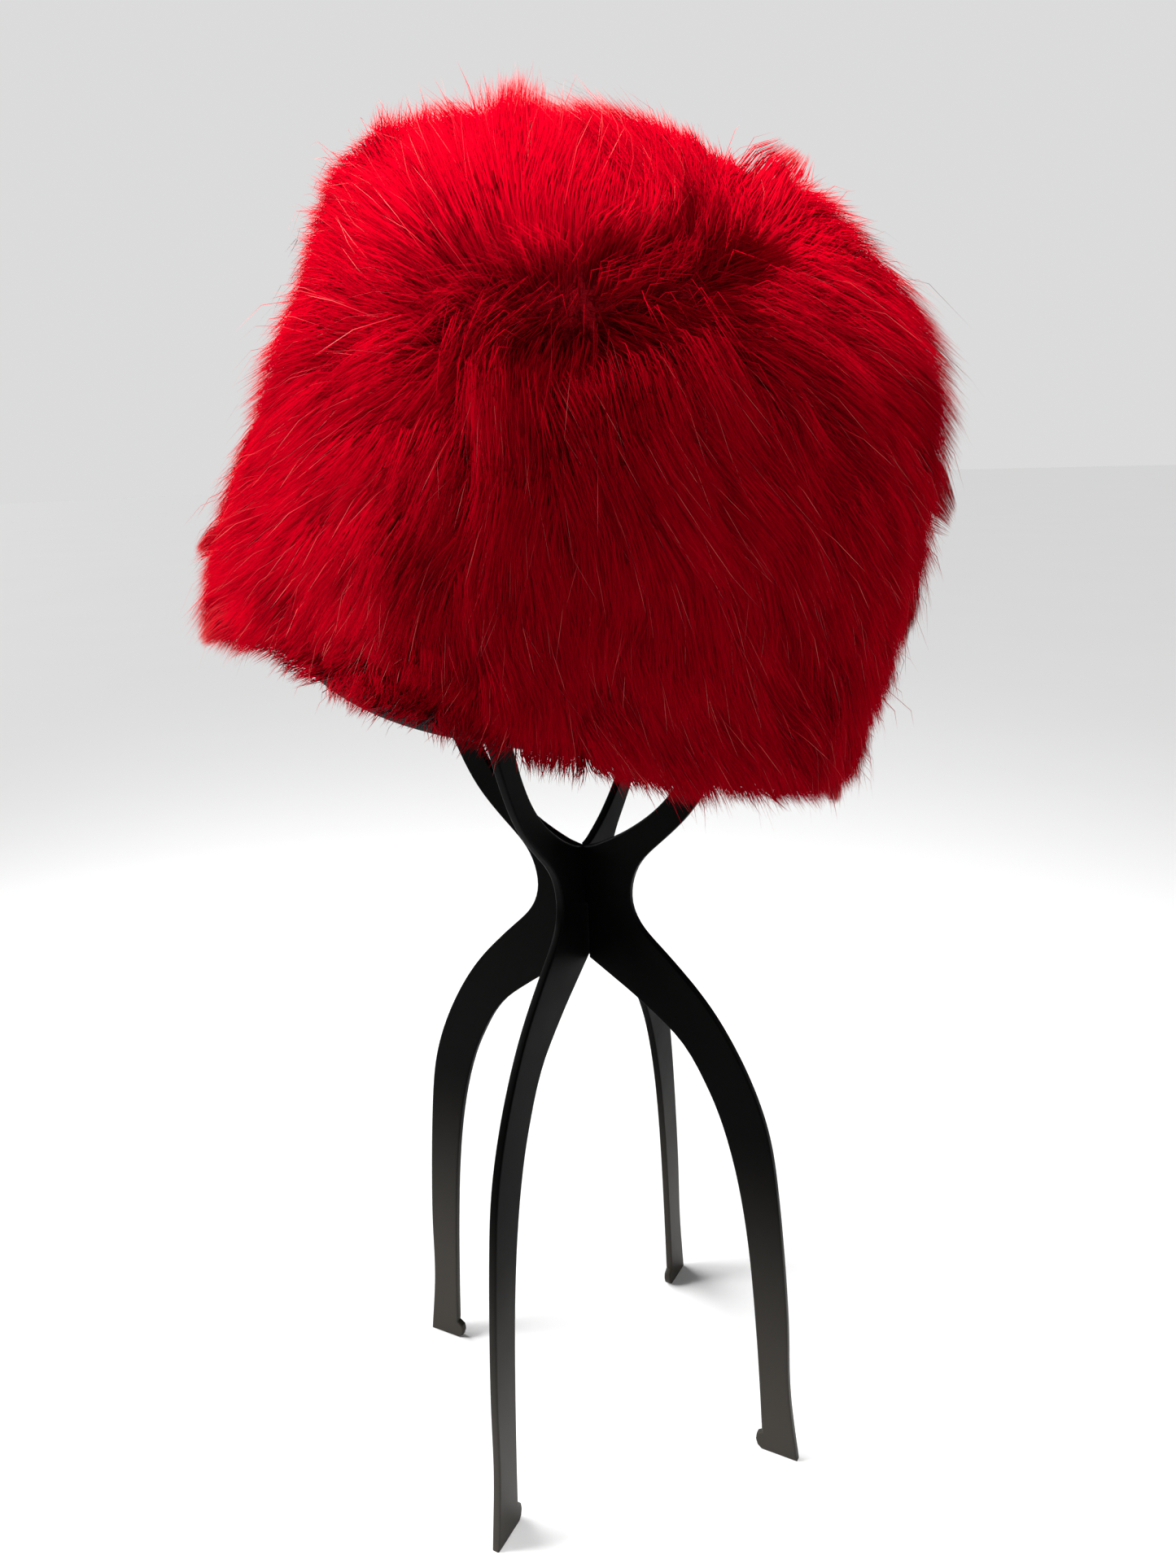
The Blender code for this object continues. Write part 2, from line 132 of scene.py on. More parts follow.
# Inner edge of a leg above its toe: height as a share of the arch's, reach as a share of the foot's
LEG_INNER = (
    ("height", "reach"),
    (0.05, 1.000),
    (0.15, 0.985),
    (0.30, 0.957),
    (0.45, 0.918),
    (0.58, 0.862),
    (0.69, 0.784),
    (0.775, 0.688),
    (0.86, 0.540),
    (0.925, 0.320),
    (0.975, 0.110),
    (1.00, 0.000),
)

# Outer edge of an arm: height from the neck to the dome's middle, reach from the neck's to the dome's
ARM_OUTER = (
    ("height", "reach"),
    (0.00, 0.000),
    (0.073, 0.030),
    (0.130, 0.100),
    (0.191, 0.262),
    (0.277, 0.470),
    (0.36, 0.600),
    (0.50, 0.755),
    (0.66, 0.880),
    (0.82, 0.960),
    (1.00, 1.000),
)

# Inner edge of an arm: height from the hub's top to the dome's middle, reach as a share of the dome's
ARM_INNER = (
    ("height", "reach"),
    (0.00, 0.000),
    (0.018, 0.110),
    (0.077, 0.318),
    (0.165, 0.530),
    (0.27, 0.685),
    (0.42, 0.812),
    (0.60, 0.903),
    (0.80, 0.970),
    (1.00, 1.000),
)

# How far the pulled-on hat stands out to each side, by share of its depth, against an even round cap
SIDES = (
    ("height", "left", "right"),
    (0.00, 1.01, 1.02),
    (0.12, 1.01, 1.02),
    (0.30, 0.98, 1.02),
    (0.50, 0.95, 1.01),
    (0.70, 0.96, 1.01),
    (0.86, 1.01, 0.96),
    (1.00, 1.05, 0.86),
)

# Hollows where the pile parts: lines over the hat, in degrees about its axis and climbs from its hem at 0
# over its wall's top at 1 to its crown at 2, each with how wide and how deep it presses the pile. The first
# three make the parting
PARTING_LINES = 3
HOLLOWS = (
    ("turn", "climb", "to_turn", "to_climb", "width", "depth"),
    (242, 1.23, 258, 1.32, 0.010, 0.75),
    (258, 1.32, 276, 1.44, 0.011, 0.80),
    (276, 1.44, 288, 1.62, 0.010, 0.70),
    (250, 1.17, 254, 0.98, 0.009, 0.45),
    (254, 0.98, 258, 0.30, 0.008, 0.40),
    (236, 0.62, 252, 0.66, 0.008, 0.55),
    (286, 1.30, 300, 1.24, 0.007, 0.35),
)

# Places where the whole pile stands higher or lower than elsewhere: place, rise and reach
SWELLS = (
    ("turn", "climb", "rise", "reach"),
    (331, 1.65, 0.020, 0.029),
    (214, 1.76, -0.014, 0.026),
)

# Tufts that stand out of the pile: place, how far they stand out and their length as a share of the pile's
TUFTS = (
    ("turn", "climb", "lift", "length"),
    (302, 1.75, 0.013, 0.75),
    (343, 1.27, 0.010, 0.90),
    (350, 1.02, 0.004, 0.90),
    (324, 0.22, 0.002, 1.10),
    (214, 1.80, 0.005, 0.80),
    (196, 0.55, 0.006, 0.90),
    (212, 0.20, 0.006, 0.90),
    (20, 1.30, 0.008, 0.90),
    (60, 0.60, 0.008, 0.95),
    (105, 1.20, 0.008, 0.90),
    (150, 0.70, 0.008, 0.95),
)


class BeanieStandSettings(bpy.types.PropertyGroup):
    edge_round: FloatProperty(
        name="Edge rounding", description="Radius of the rounding along the plates' moulded edges",
        default=0.0006, min=0.0001, max=0.0014, unit="LENGTH",
    )
    plastic: FloatVectorProperty(
        name="Plastic", description="Colour of the stand's plastic",
        default=(0.0012, 0.0012, 0.0011), subtype="COLOR", min=0, max=1,
    )


class BeanieHatSettings(bpy.types.PropertyGroup):
    fold_depth: FloatProperty(
        name="Lining folds", description="How far the soft folds of the lining press in",
        default=0.0004, min=0, max=0.001, unit="LENGTH",
    )
    backing: FloatProperty(
        name="Backing", description="Thickness of the knitted backing with the matted roots of the pile",
        default=0.005, unit="LENGTH",
    )
    cloth: FloatVectorProperty(
        name="Cloth", description="Colour of the lining",
        default=(0.008, 0.007, 0.008), subtype="COLOR", min=0, max=1,
    )


class BeanieFurSettings(bpy.types.PropertyGroup):
    pile_strands: IntProperty(
        name="Pile strands", description="Ribbons of pile in each quarter of the hat", default=65000, min=100
    )
    guard_strands: IntProperty(
        name="Guard hairs", description="Long pale-tipped hairs over the whole hat", default=4600, min=100
    )
    length: FloatProperty(
        name="Pile length", description="Mean length of a hair", default=0.028, unit="LENGTH"
    )
    width: FloatProperty(
        name="Strand width", description="Width of a ribbon of pile at its middle",
        default=0.00034, unit="LENGTH",
    )
    lift: FloatProperty(
        name="Pile lift", description="How high the tips of the pile stand above the cloth",
        default=0.0200, unit="LENGTH",
    )
    locks: IntProperty(name="Locks", description="Large locks over the whole hat", default=420, min=10)
    wisps: IntProperty(
        name="Wisps", description="Small wisps over the whole hat, several to a lock", default=6500, min=10
    )
    seed: IntProperty(name="Seed", description="Start of the random draws", default=11)
    root: FloatVectorProperty(
        name="Root colour", description="Colour deep in the pile",
        default=(0.10, 0.0, 0.002), subtype="COLOR", min=0, max=1,
    )
    body: FloatVectorProperty(
        name="Pile colour", description="Colour along most of a hair",
        default=(0.38, 0.0, 0.007), subtype="COLOR", min=0, max=1,
    )
    # The guard tips' pale colour is partly a painted glint: it stands in for the pinkish shine on the hair tips
    tip: FloatVectorProperty(
        name="Guard tip colour", description="Colour of the guard hairs' tips",
        default=(0.60, 0.16, 0.13), subtype="COLOR", min=0, max=1,
    )


class BeanieStageSettings(bpy.types.PropertyGroup):
    sun_power: FloatProperty(
        name="Room light", description="Strength of the broad soft light that also fills the floor",
        default=3.7,
    )
    key_power: FloatProperty(
        name="Key light", description="Power of the soft light at the left", default=6.2, subtype="POWER"
    )
    top_power: FloatProperty(
        name="Top light", description="Power of the soft light above the hat, a little in front of it",
        default=2.2, subtype="POWER",
    )
    fill_power: FloatProperty(
        name="Fill light", description="Power of the weak light at the right", default=1.9, subtype="POWER"
    )
    surround: FloatProperty(
        name="Surround", description="Brightness of the room's even light", default=0.05
    )
    floor: FloatVectorProperty(
        name="Floor", description="Colour of the plain floor",
        default=(0.93, 0.93, 0.93), subtype="COLOR", min=0, max=1,
    )


def column(table, name):
    place = table[0].index(name)
    return np.array([row[place] for row in table[1:]], float)


def read_table(table, name, share):
    """Smooth values of the named column: cubic pieces through the rows, with slopes from the rows beside."""
    steps = column(table, table[0][0])
    values = column(table, name)
    share = np.clip(share, steps[0], steps[-1])
    last = len(steps) - 1
    low = np.clip(np.searchsorted(steps, share, side="right") - 1, 0, last - 1)
    rows = np.arange(len(steps))
    before, after = np.maximum(rows - 1, 0), np.minimum(rows + 1, last)
    slopes = (values[after] - values[before]) / (steps[after] - steps[before])
    width = steps[low + 1] - steps[low]
    t = (share - steps[low]) / width
    return (
        (2 * t**3 - 3 * t**2 + 1) * values[low]
        + (t**3 - 2 * t**2 + t) * width * slopes[low]
        + (3 * t**2 - 2 * t**3) * values[low + 1]
        + (t**3 - t**2) * width * slopes[low + 1]
    )


def unit_vectors(vectors):
    return vectors / np.maximum(np.linalg.norm(vectors, axis=-1, keepdims=True), 1e-12)


def turned_about(vectors, axes, angles):
    """Each vector turned about its own unit axis by its own angle: the turned parts along and across it."""
    cosine, sine = np.cos(angles)[:, None], np.sin(angles)[:, None]
    along = (vectors * axes).sum(-1, keepdims=True) * axes
    return along + (vectors - along) * cosine + np.cross(axes, vectors) * sine


def linked(name, data):
    made = bpy.data.objects.new(name, data)
    bpy.context.scene.collection.objects.link(made)
    return made


def mesh_piece(name, points, faces, material, smooth_angle=None):
    """A mesh object from an array of points and a list of face index rows, shaded smooth."""
    mesh = bpy.data.meshes.new(name)
    mesh.from_pydata(np.asarray(points, float), [], faces)
    mesh.materials.append(material)
    mesh.shade_smooth()
    if smooth_angle is not None:
        mesh.set_sharp_from_angle(angle=smooth_angle)
    mesh.update()
    return linked(name, mesh)


def grid_faces(rows, columns, closed):
    """Quads between neighbouring rows of a grid of points, going round again where the rows are closed."""
    across = columns if closed else columns - 1
    row, place = np.meshgrid(np.arange(rows - 1), np.arange(across), indexing="ij")
    beside = (place + 1) % columns
    low, high = row * columns, (row + 1) * columns
    quads = np.stack((low + place, low + beside, high + beside, high + place), -1)
    return quads.reshape(-1, 4)


def stand_axis():
    """The stand's axis: the middle of a plate's box, because a plate is even about it."""
    low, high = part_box("stand_plate_a")
    return np.array([(low.x + high.x) / 2, (low.y + high.y) / 2])


def smooth_edge(table, steps, start, span):
    """Points at even steps along a table's smooth curve, with its shares laid over a span from a start."""
    heights = column(table, "height")
    at = np.interp(np.linspace(0, len(heights) - 1, steps), np.arange(len(heights)), heights)
    return np.array(start) + np.array(span) * np.stack((read_table(table, "reach", at), at), -1)


def eased(line, reach):
    """A line's points at even steps, each the mean of those within a reach, weighted by a bell curve. Its two
    ends keep their place and direction, because the line is carried on past them by its point reflection."""
    passed = np.concatenate(([0], np.cumsum(np.linalg.norm(np.diff(line, axis=0), axis=1))))
    steps = 150
    even = np.linspace(0, passed[-1], steps)
    points = np.stack([np.interp(even, passed, part) for part in line.T], -1)
    beyond = 20
    before = 2 * points[0] - points[beyond:0:-1]
    after = 2 * points[-1] - points[-2 : -2 - beyond : -1]
    longer = np.vstack((before, points, after))
    offsets = np.arange(-beyond, beyond + 1) * even[1]
    weights = np.exp(-0.5 * (offsets / reach) ** 2)
    return np.stack([np.convolve(part, weights / weights.sum(), "valid") for part in longer.T], -1)


def half_outline(slot_from):
    """The outline of half a plate in reach and height, round the leg, over the arm and back in to the axis.

    Legs and arms follow their tables, the toe and the tip are rounded, and the dome's two edges are arcs of
    ellipses. The slot's side replaces the last stretch of the edge that it opens in.
    """
    slot_half = PLATE_THICKNESS / 2 + SLOT_CLEARANCE
    hub_middle = LEG_ARCH_HEIGHT + HUB_HEIGHT / 2
    inner = FOOT_REACH - FOOT_WIDTH
    leg_in = smooth_edge(LEG_INNER, 40, (0, 0), (inner, LEG_ARCH_HEIGHT))
    leg_out = smooth_edge(LEG_OUTER, 48, (NECK_REACH, 0), (FOOT_REACH - NECK_REACH, NECK_HEIGHT))
    to_dome = (DOME_REACH - NECK_REACH, DOME_MIDDLE - NECK_HEIGHT)
    arm_out = smooth_edge(ARM_OUTER, 44, (NECK_REACH, NECK_HEIGHT), to_dome)
    outside = eased(np.vstack((leg_out, arm_out[1:])), 0.0045)
    arm_in = smooth_edge(ARM_INNER, 44, (0, HUB_TOP), (DOME_REACH - LIMB_WIDTH, ARM_HEIGHT))
    if slot_from == "bottom":
        leg_in = leg_in[leg_in[:, 0] > slot_half]
        leg_in = np.vstack((leg_in, [[slot_half, leg_in[-1, 1]], [slot_half, hub_middle]]))
    else:
        arm_in = arm_in[arm_in[:, 0] > slot_half]
        arm_in = np.vstack(([[slot_half, hub_middle], [slot_half, arm_in[0, 1]]], arm_in))
    toe = np.array([(0, 0), (-0.7, 0.16), (-1, 0.42), (-0.85, 0.68), (0.1, 0.85)])
    toe = np.array([inner, 0]) + toe * np.array([TOE_REACH, TOE_HEIGHT])
    radius = LIMB_WIDTH / 2
    arcs = []
    for inset in (0, LIMB_WIDTH):
        reach, high = DOME_REACH - inset, DOME_RISE - inset
        angle = np.linspace(0, math.acos((TIP_REACH + radius) / reach), 26)[1:]
        arcs.append(np.stack((reach * np.cos(angle), DOME_MIDDLE + high * np.sin(angle)), -1))
    middle, half = (arcs[0][-1] + arcs[1][-1]) / 2, (arcs[0][-1, 1] - arcs[1][-1, 1]) / 2
    angle = math.pi / 2 + np.linspace(0, math.pi, 12)[1:-1]
    tip = middle + np.stack((radius * np.cos(angle), half * np.sin(angle)), -1)
    pieces = (leg_in[::-1], toe[::-1], outside, arcs[0], tip, arcs[1][::-1], arm_in[::-1][1:])
    return np.vstack(pieces)


def plate_surface(slot_from, turn, rounding):
    """Points and faces of a plate: its outline carried round a rounded edge profile, with two flat sides.

    A point is the outline moved in along its own normal by the profile's inset, at the profile's place
    through the plate's thickness. The last ring lies on the flat side, and one face closes it.
    """
    half = half_outline(slot_from)
    mirrored = (half * np.array([-1, 1]))[::-1]
    outline = np.vstack((half, mirrored[mirrored[:, 0] < -1e-6]))
    keep = np.linalg.norm(outline - np.roll(outline, 1, axis=0), axis=1) > 2e-5
    outline = outline[keep]
    ahead = unit_vectors(np.roll(outline, -1, axis=0) - outline)
    behind = np.roll(ahead, 1, axis=0)
    along = unit_vectors(ahead + behind)
    inward = np.stack((-along[:, 1], along[:, 0]), -1)
    area = (outline[:, 0] * np.roll(outline[:, 1], -1) - np.roll(outline[:, 0], -1) * outline[:, 1]).sum()
    inward *= math.copysign(1, area)
    stretch = 1 / np.clip((along * ahead).sum(-1), 0.6, 1)
    angle = np.linspace(0, math.pi / 2, 5)
    inset = np.append(rounding * (1 - np.cos(angle)), rounding * 1.6)
    depth = np.append(PLATE_THICKNESS / 2 - rounding * (1 - np.sin(angle)), PLATE_THICKNESS / 2)
    profile = np.vstack((np.stack((inset, -depth), -1)[::-1], np.stack((inset, depth), -1)))
    rings = outline[None] + inward[None] * (profile[:, 0, None] * stretch[None])[..., None]
    count = len(outline)
    reach, height = rings[..., 0].ravel(), rings[..., 1].ravel()
    side = np.repeat(profile[:, 1], count)
    axis = stand_axis()
    x = axis[0] + reach * math.cos(turn) + side * math.sin(turn)
    y = axis[1] + reach * math.sin(turn) - side * math.cos(turn)
    faces = grid_faces(len(profile), count, True)
    if area < 0:
        faces = faces[:, ::-1]
    sides = [np.arange(count)[::-1], np.arange(count) + (len(profile) - 1) * count]
    if area < 0:
        sides = [ring[::-1] for ring in sides]
    return np.stack((x, y, height), -1), faces.tolist() + [ring.tolist() for ring in sides]


def plain_radius(directions, offset):
    """How far the plain cap lies from its middle in unit directions: a wall below, a superellipse above."""
    radius = CAP_RADIUS + offset
    rise = CAP_DEPTH + offset - CAP_WALL_HEIGHT
    level = np.linalg.norm(directions[..., :2], axis=-1)
    up = np.maximum(directions[..., 2], 0)
    return ((level / radius) ** DOME_POWER + (up / rise) ** DOME_POWER) ** (-1 / DOME_POWER)


def plain_normal(points, offset):
    """Outward unit normals of the plain cap: the slope of the superellipse's formula at each point."""
    radius = CAP_RADIUS + offset
    rise = CAP_DEPTH + offset - CAP_WALL_HEIGHT
    level = np.linalg.norm(points[..., :2], axis=-1, keepdims=True)
    outward = points[..., :2] / np.maximum(level, 1e-9)
    up = np.maximum(points[..., 2:], 0)
    flat = outward * (level / radius) ** (DOME_POWER - 1) / radius
    return unit_vectors(np.concatenate((flat, (up / rise) ** (DOME_POWER - 1) / rise), -1))


def worn_shape(points, offset):
    """The plain cap pulled out of round: crown heights sloped by their place from left to right, then each
    point's reach multiplied by the left or right share at its height."""
    radius = CAP_RADIUS + offset
    reach = np.maximum(np.linalg.norm(points[..., :2], axis=-1), 1e-9)
    above = np.maximum(points[..., 2], 0)
    tilt = 1 - CROWN_SLOPE * points[..., 0] / radius
    height = CAP_WALL_HEIGHT + np.minimum(points[..., 2], 0) + above * tilt
    share = height / (CAP_DEPTH + offset)
    left, right = read_table(SIDES, "left", share), read_table(SIDES, "right", share)
    across = points[..., 0] / reach
    middle = (left + right) / 2
    shares = middle + (np.where(across > 0, right, left) - middle) * across**2
    return np.stack((points[..., 0] * shares, points[..., 1] * shares, height), -1)


def cap_place(turn, climb):
    """Unit directions from the cap's middle for turns about its axis and climbs from hem to crown."""
    turn, climb = np.asarray(turn, float), np.asarray(climb, float)
    angle = np.clip(climb - 1, 0, 1) * math.pi / 2
    reach = CAP_RADIUS * np.cos(angle) ** (2 / DOME_POWER)
    rise = (CAP_DEPTH - CAP_WALL_HEIGHT) * np.sin(angle) ** (2 / DOME_POWER)
    height = np.where(climb < 1, (climb - 1) * CAP_WALL_HEIGHT, rise)
    return unit_vectors(np.stack((reach * np.cos(turn), reach * np.sin(turn), height), -1))


def hem_drop(turn):
    """How far the cloth sags at its hem, the eighth power of a cosine about the sag's own turn."""
    return HEM_SAG * np.maximum(0, np.cos(turn - HEM_SAG_TURN)) ** 8


def hat_turn():
    """The lean of the hat: first towards the front, then to the side."""
    return np.array(Matrix.Rotation(HAT_LEAN_SIDE, 3, "Y") @ Matrix.Rotation(HAT_LEAN_FRONT, 3, "X"))


def on_cap(directions, offset):
    """Places on the plain cap in unit directions from its middle."""
    return directions * plain_radius(directions, offset)[..., None]


def cap_grid(turns, climbs):
    """The climb and turn of each point of a grid that goes round the cap, row by row from the hem up."""
    return np.meshgrid(climbs, np.linspace(0, math.tau, turns, endpoint=False), indexing="ij")


def cap_rows(offset, turns, climbs, sags):
    """A grid of points over the cap from its hem up, before it is leaned and set in place."""
    climb, turn = cap_grid(turns, climbs)
    points = on_cap(cap_place(turn, climb), offset)
    height = np.where(climb < 1, (climb - 1) * CAP_WALL_HEIGHT, points[..., 2])
    level = np.where(climb < 1, CAP_RADIUS + offset, np.linalg.norm(points[..., :2], axis=-1))
    points = np.stack((level * np.cos(turn), level * np.sin(turn), height), -1)
    shaped = worn_shape(points, offset)
    if sags:
        shaped[..., 2] -= hem_drop(turn) * np.clip(1 - 3 * climb, 0, 1)
    return shaped


def hat_middle():
    """Where the hem's middle lies: the leaned cap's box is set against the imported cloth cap's box."""
    rows = cap_rows(CLOTH_THICKNESS, 256, np.linspace(0, 2, 81), True)
    points = rows.reshape(-1, 3) @ hat_turn().T
    low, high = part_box("hat_lining")
    return np.array([
        (low.x + high.x) / 2 - (points[:, 0].min() + points[:, 0].max()) / 2,
        (low.y + high.y) / 2 - (points[:, 1].min() + points[:, 1].max()) / 2,
        high.z - points[:, 2].max(),
    ])


def set_on_stand(points):
    """Points of the hat's own frame leaned and moved to their place on the stand."""
    return points @ hat_turn().T + hat_middle()


def two_walls(outer, inner):
    """Points and faces of a cap made of an outer and an inner grid joined at the hem, set on the stand."""
    rows, turns = outer.shape[:2]
    count = rows * turns
    skin = grid_faces(rows, turns, True)
    place = np.arange(turns)
    beside = (place + 1) % turns
    hem = np.stack((place, place + count, beside + count, beside), -1)
    points = np.concatenate((outer.reshape(-1, 3), inner.reshape(-1, 3)))
    return set_on_stand(points), np.concatenate((skin, skin[:, ::-1] + count, hem)).tolist()


def lining_surface(fold_depth):
    """The lining: two walls with folds, a few waves round that fade upwards, and a welt inside the hem.

    A point's offset is the cloth's own, less a product of a cosine of its turn and a cosine of its climb.
    """
    turns, climbs = 192, np.concatenate(([0, 0.02, 0.05], np.linspace(0.1, 1.96, 44), [1.985, 2.0]))
    climb, turn = cap_grid(turns, climbs)
    wave = 0.5 - 0.5 * np.cos(9 * turn + 1.5 * np.sin(2 * turn)) * np.cos(2.2 * climb + np.sin(3 * turn))
    fold = fold_depth * wave * np.clip(2 - climb, 0, 1)
    walls = []
    for offset in (CLOTH_THICKNESS, 0.0):
        rows = cap_rows(offset, turns, climbs, True)
        inward = unit_vectors(rows * np.array([1, 1, 0.5]) - np.array([0, 0, 0.5 * CAP_WALL_HEIGHT]))
        walls.append(rows - inward * fold[..., None])
    outer, inner = walls
    welt = WELT_DEPTH * bell(climbs - 0.045, 0.03)
    return two_walls(outer, inner - unit_vectors(inner * np.array([1, 1, 0])) * welt[:, None, None])


def bell(distance, width):
    """1 at no distance, falling off as the exponential of minus the square of distance over width."""
    return np.exp(-((distance / width) ** 2))


def soft_noise(points, scale, seed):
    """Smooth noise from -1 to 1: the mean of sine waves of random directions and about one wavelength."""
    draw = np.random.default_rng(seed)
    total = 0
    for _ in range(9):
        wave = unit_vectors(draw.normal(size=3)) * math.tau / (scale * draw.uniform(0.7, 1.4))
        total = total + np.sin(points @ wave + draw.uniform(0, math.tau))
    return np.clip(total / 4.5, -1, 1)


def waves(points, table, seed):
    """The sum of soft noises, each of its own strength and wavelength."""
    return sum(strength * soft_noise(points, scale, seed + i) for i, (strength, scale) in enumerate(table))


def backing_surface(thickness):
    """The backing: a wall round the lining whose outside is roughened by noise and rounds in to the hem."""
    turns, climbs = 200, np.concatenate(([0], np.linspace(0.03, 0.3, 8), np.linspace(0.36, 2.0, 54)))
    inside = CLOTH_THICKNESS + SEAT_GAP
    inner = cap_rows(inside, turns, climbs, False)
    outer = cap_rows(inside + thickness, turns, climbs, False)
    rounding = np.sqrt(1 - (1 - np.clip(climbs / 0.16, 0.0, 1)) ** 2)
    rounding = (0.25 + 0.75 * rounding)[:, None, None]
    middle = inner + (outer - inner) * rounding
    rough = BACKING_ROUGHNESS * waves(middle, ROUGH_WAVES, 5)[..., None]
    return two_walls(middle + unit_vectors(outer - inner) * rough * rounding, inner)


def even_roots(count, draw):
    """Directions spread evenly by area over the cap: golden-angle turns, and heights read back from the
    running sum of area up the cap's section, each moved a little at random."""
    samples, level = 400, 0.010
    climbs = np.linspace(0, 2, samples)
    section = on_cap(cap_place(np.zeros(samples), climbs), level)
    steps = np.linalg.norm(np.diff(section, axis=0), axis=1)
    area = np.concatenate(([0], np.cumsum(steps * (section[1:, 0] + section[:-1, 0]) / 2)))
    share = (np.arange(count) + draw.uniform(0, 1, count)) / count
    climb = np.interp(share * area[-1], area, climbs)
    golden = math.pi * (3 - math.sqrt(5))
    turn = (np.arange(count) * golden + draw.normal(0, 0.4, count) / math.sqrt(count)) % math.tau
    return turn, climb


def hollow_lines():
    """The two ends of each hollow on the plain cap, with its width and depth."""
    starts, ends = (
        on_cap(cap_place(np.radians(column(HOLLOWS, turn)), column(HOLLOWS, climb)), 0.0)
        for turn, climb in (("turn", "climb"), ("to_turn", "to_climb"))
    )
    return starts, ends, column(HOLLOWS, "width"), column(HOLLOWS, "depth")


def from_line(points, start, end):
    """The way to each point from the nearest place on a line between two points, and its length."""
    along = end - start
    share = np.clip(((points - start) @ along) / (along @ along), 0, 1)
    towards = points - (start + share[:, None] * along)
    return towards, np.linalg.norm(towards, axis=1)


def pressed(points):
    """How far the pile is pressed down at each point: the deepest of the hollows' rounded troughs."""
    places = on_cap(unit_vectors(points), 0.0)
    deepest = np.zeros(len(points))
    for start, end, width, depth in zip(*hollow_lines()):
        deepest = np.maximum(deepest, depth * bell(from_line(places, start, end)[1], width))
    return deepest


def from_parting(points):
    """The way from the nearest place on the parting to each point on the plain cap, and its length."""
    starts, ends, _, _ = hollow_lines()
    places = on_cap(unit_vectors(points), 0.0)
    best = np.full(len(points), np.inf)
    away = np.zeros_like(points)
    for start, end in zip(starts[:PARTING_LINES], ends[:PARTING_LINES]):
        towards, apart = from_line(places, start, end)
        nearer = apart < best
        best = np.where(nearer, apart, best)
        away[nearer] = towards[nearer]
    return away, best


def nap(points, normals, down):
    """The way the fur lies: away from the parting across the crown, more and more downwards with distance."""
    starts, ends, _, _ = hollow_lines()
    away, apart = from_parting(points)
    whorl = (ends[0] + starts[1]) / 2
    away = 0.6 * unit_vectors(away) + 0.4 * unit_vectors(on_cap(unit_vectors(points), 0.0) - whorl)
    far = np.minimum(apart / (2 * CAP_RADIUS), 1)[:, None]
    pull = unit_vectors(away) + down * (1.1 * far * far)
    return unit_vectors(pull - normals * (pull * normals).sum(1, keepdims=True))


def arm_turns():
    """The turns about the hat's axis at which the stand's four arms press the cloth out."""
    turn = PLATE_TURN + np.arange(4) * math.pi / 2
    place = stand_axis() + DOME_REACH * np.stack((np.cos(turn), np.sin(turn)), -1) - hat_middle()[:2]
    return np.arctan2(place[:, 1], place[:, 0])


def angle_from(other, turn):
    """The angle from another turn to a turn, from minus half a turn to half a turn."""
    return (turn - other + math.pi) % math.tau - math.pi


def light_on_form(directions, normals):
    """The direction by which light meets each hair: the cap's outward direction, bent by the fur's own form.

    Round each arm, where the cloth is drawn over a corner, it is turned away from the arm by a share of
    x times exp(0.5 - x squared / 2), x being the turn from the arm over 22 degrees. On the brow over the
    parting, where the pile stands up, it is turned upwards, most at about 20 mm from the parting. In the
    parting itself and on the slope below it, which lie under the brow, it is turned downwards.
    """
    corner_width, brow_start, brow_width = math.radians(22), 0.002, 0.018
    brow_reach, under_reach, parting_reach = 0.11, 0.17, 0.008
    turn = np.arctan2(directions[:, 1], directions[:, 0])
    bend = np.zeros(len(turn))
    for arm in arm_turns():
        off = angle_from(arm, turn) / corner_width
        bend += off * np.exp(0.5 - off * off / 2)
    around = np.stack((-np.sin(turn), np.cos(turn), np.zeros(len(turn))), -1)
    level = np.linalg.norm(directions[:, :2], axis=1)
    away, apart = from_parting(directions)
    rise = np.clip((apart - brow_start) / brow_width, 0, 1)
    rise = rise * rise * (3 - 2 * rise) * unit_vectors(away)[:, 2]
    brow = (1.5 * rise).clip(0, 1) * bell(apart, brow_reach)
    under = (-rise).clip(0, 1) * bell(apart, under_reach)
    upwards = 2.0 * brow - 0.75 * under - bell(apart, parting_reach)
    bent = around * (0.65 * bend * level)[:, None] + upwards[:, None] * np.array([0, 0, 1.0])
    return unit_vectors(normals + bent[:, None])


def walk(directions, lengths, swirl, down, shares, stray):
    """Places along each hair's way over the cap, at the given shares of its length, along the nap.

    A hair reads the nap a little way off from its own root, by its stray, so hairs cross at the parting.
    """
    points = on_cap(directions, HAIR_LEVEL)
    way = [points]
    heading = None
    for step in np.diff(shares):
        normals = plain_normal(points, HAIR_LEVEL)
        along = turned_about(nap(points + stray, normals, down), normals, swirl)
        heading = along if heading is None else unit_vectors(0.5 * heading + 0.5 * along)
        points = on_cap(unit_vectors(points + heading * (lengths * step)[:, None]), HAIR_LEVEL)
        way.append(points)
    return np.stack(way, 1)


def below_hem(turn, draw, loose):
    """How far below the hem tips may hang: least where the hem sags, most at the corner to its left."""
    hang, sag_cut, corner_hang = 0.0125, 0.0180, 0.0100
    drop = hang * draw.uniform(0.5, 1.15, len(turn)) - sag_cut * bell(angle_from(HEM_SAG_TURN, turn), 0.44)
    drop = drop + corner_hang * bell(angle_from(LOW_CORNER_TURN, turn), 0.28)
    return drop + loose * draw.uniform(0, 1, len(turn)) ** 2


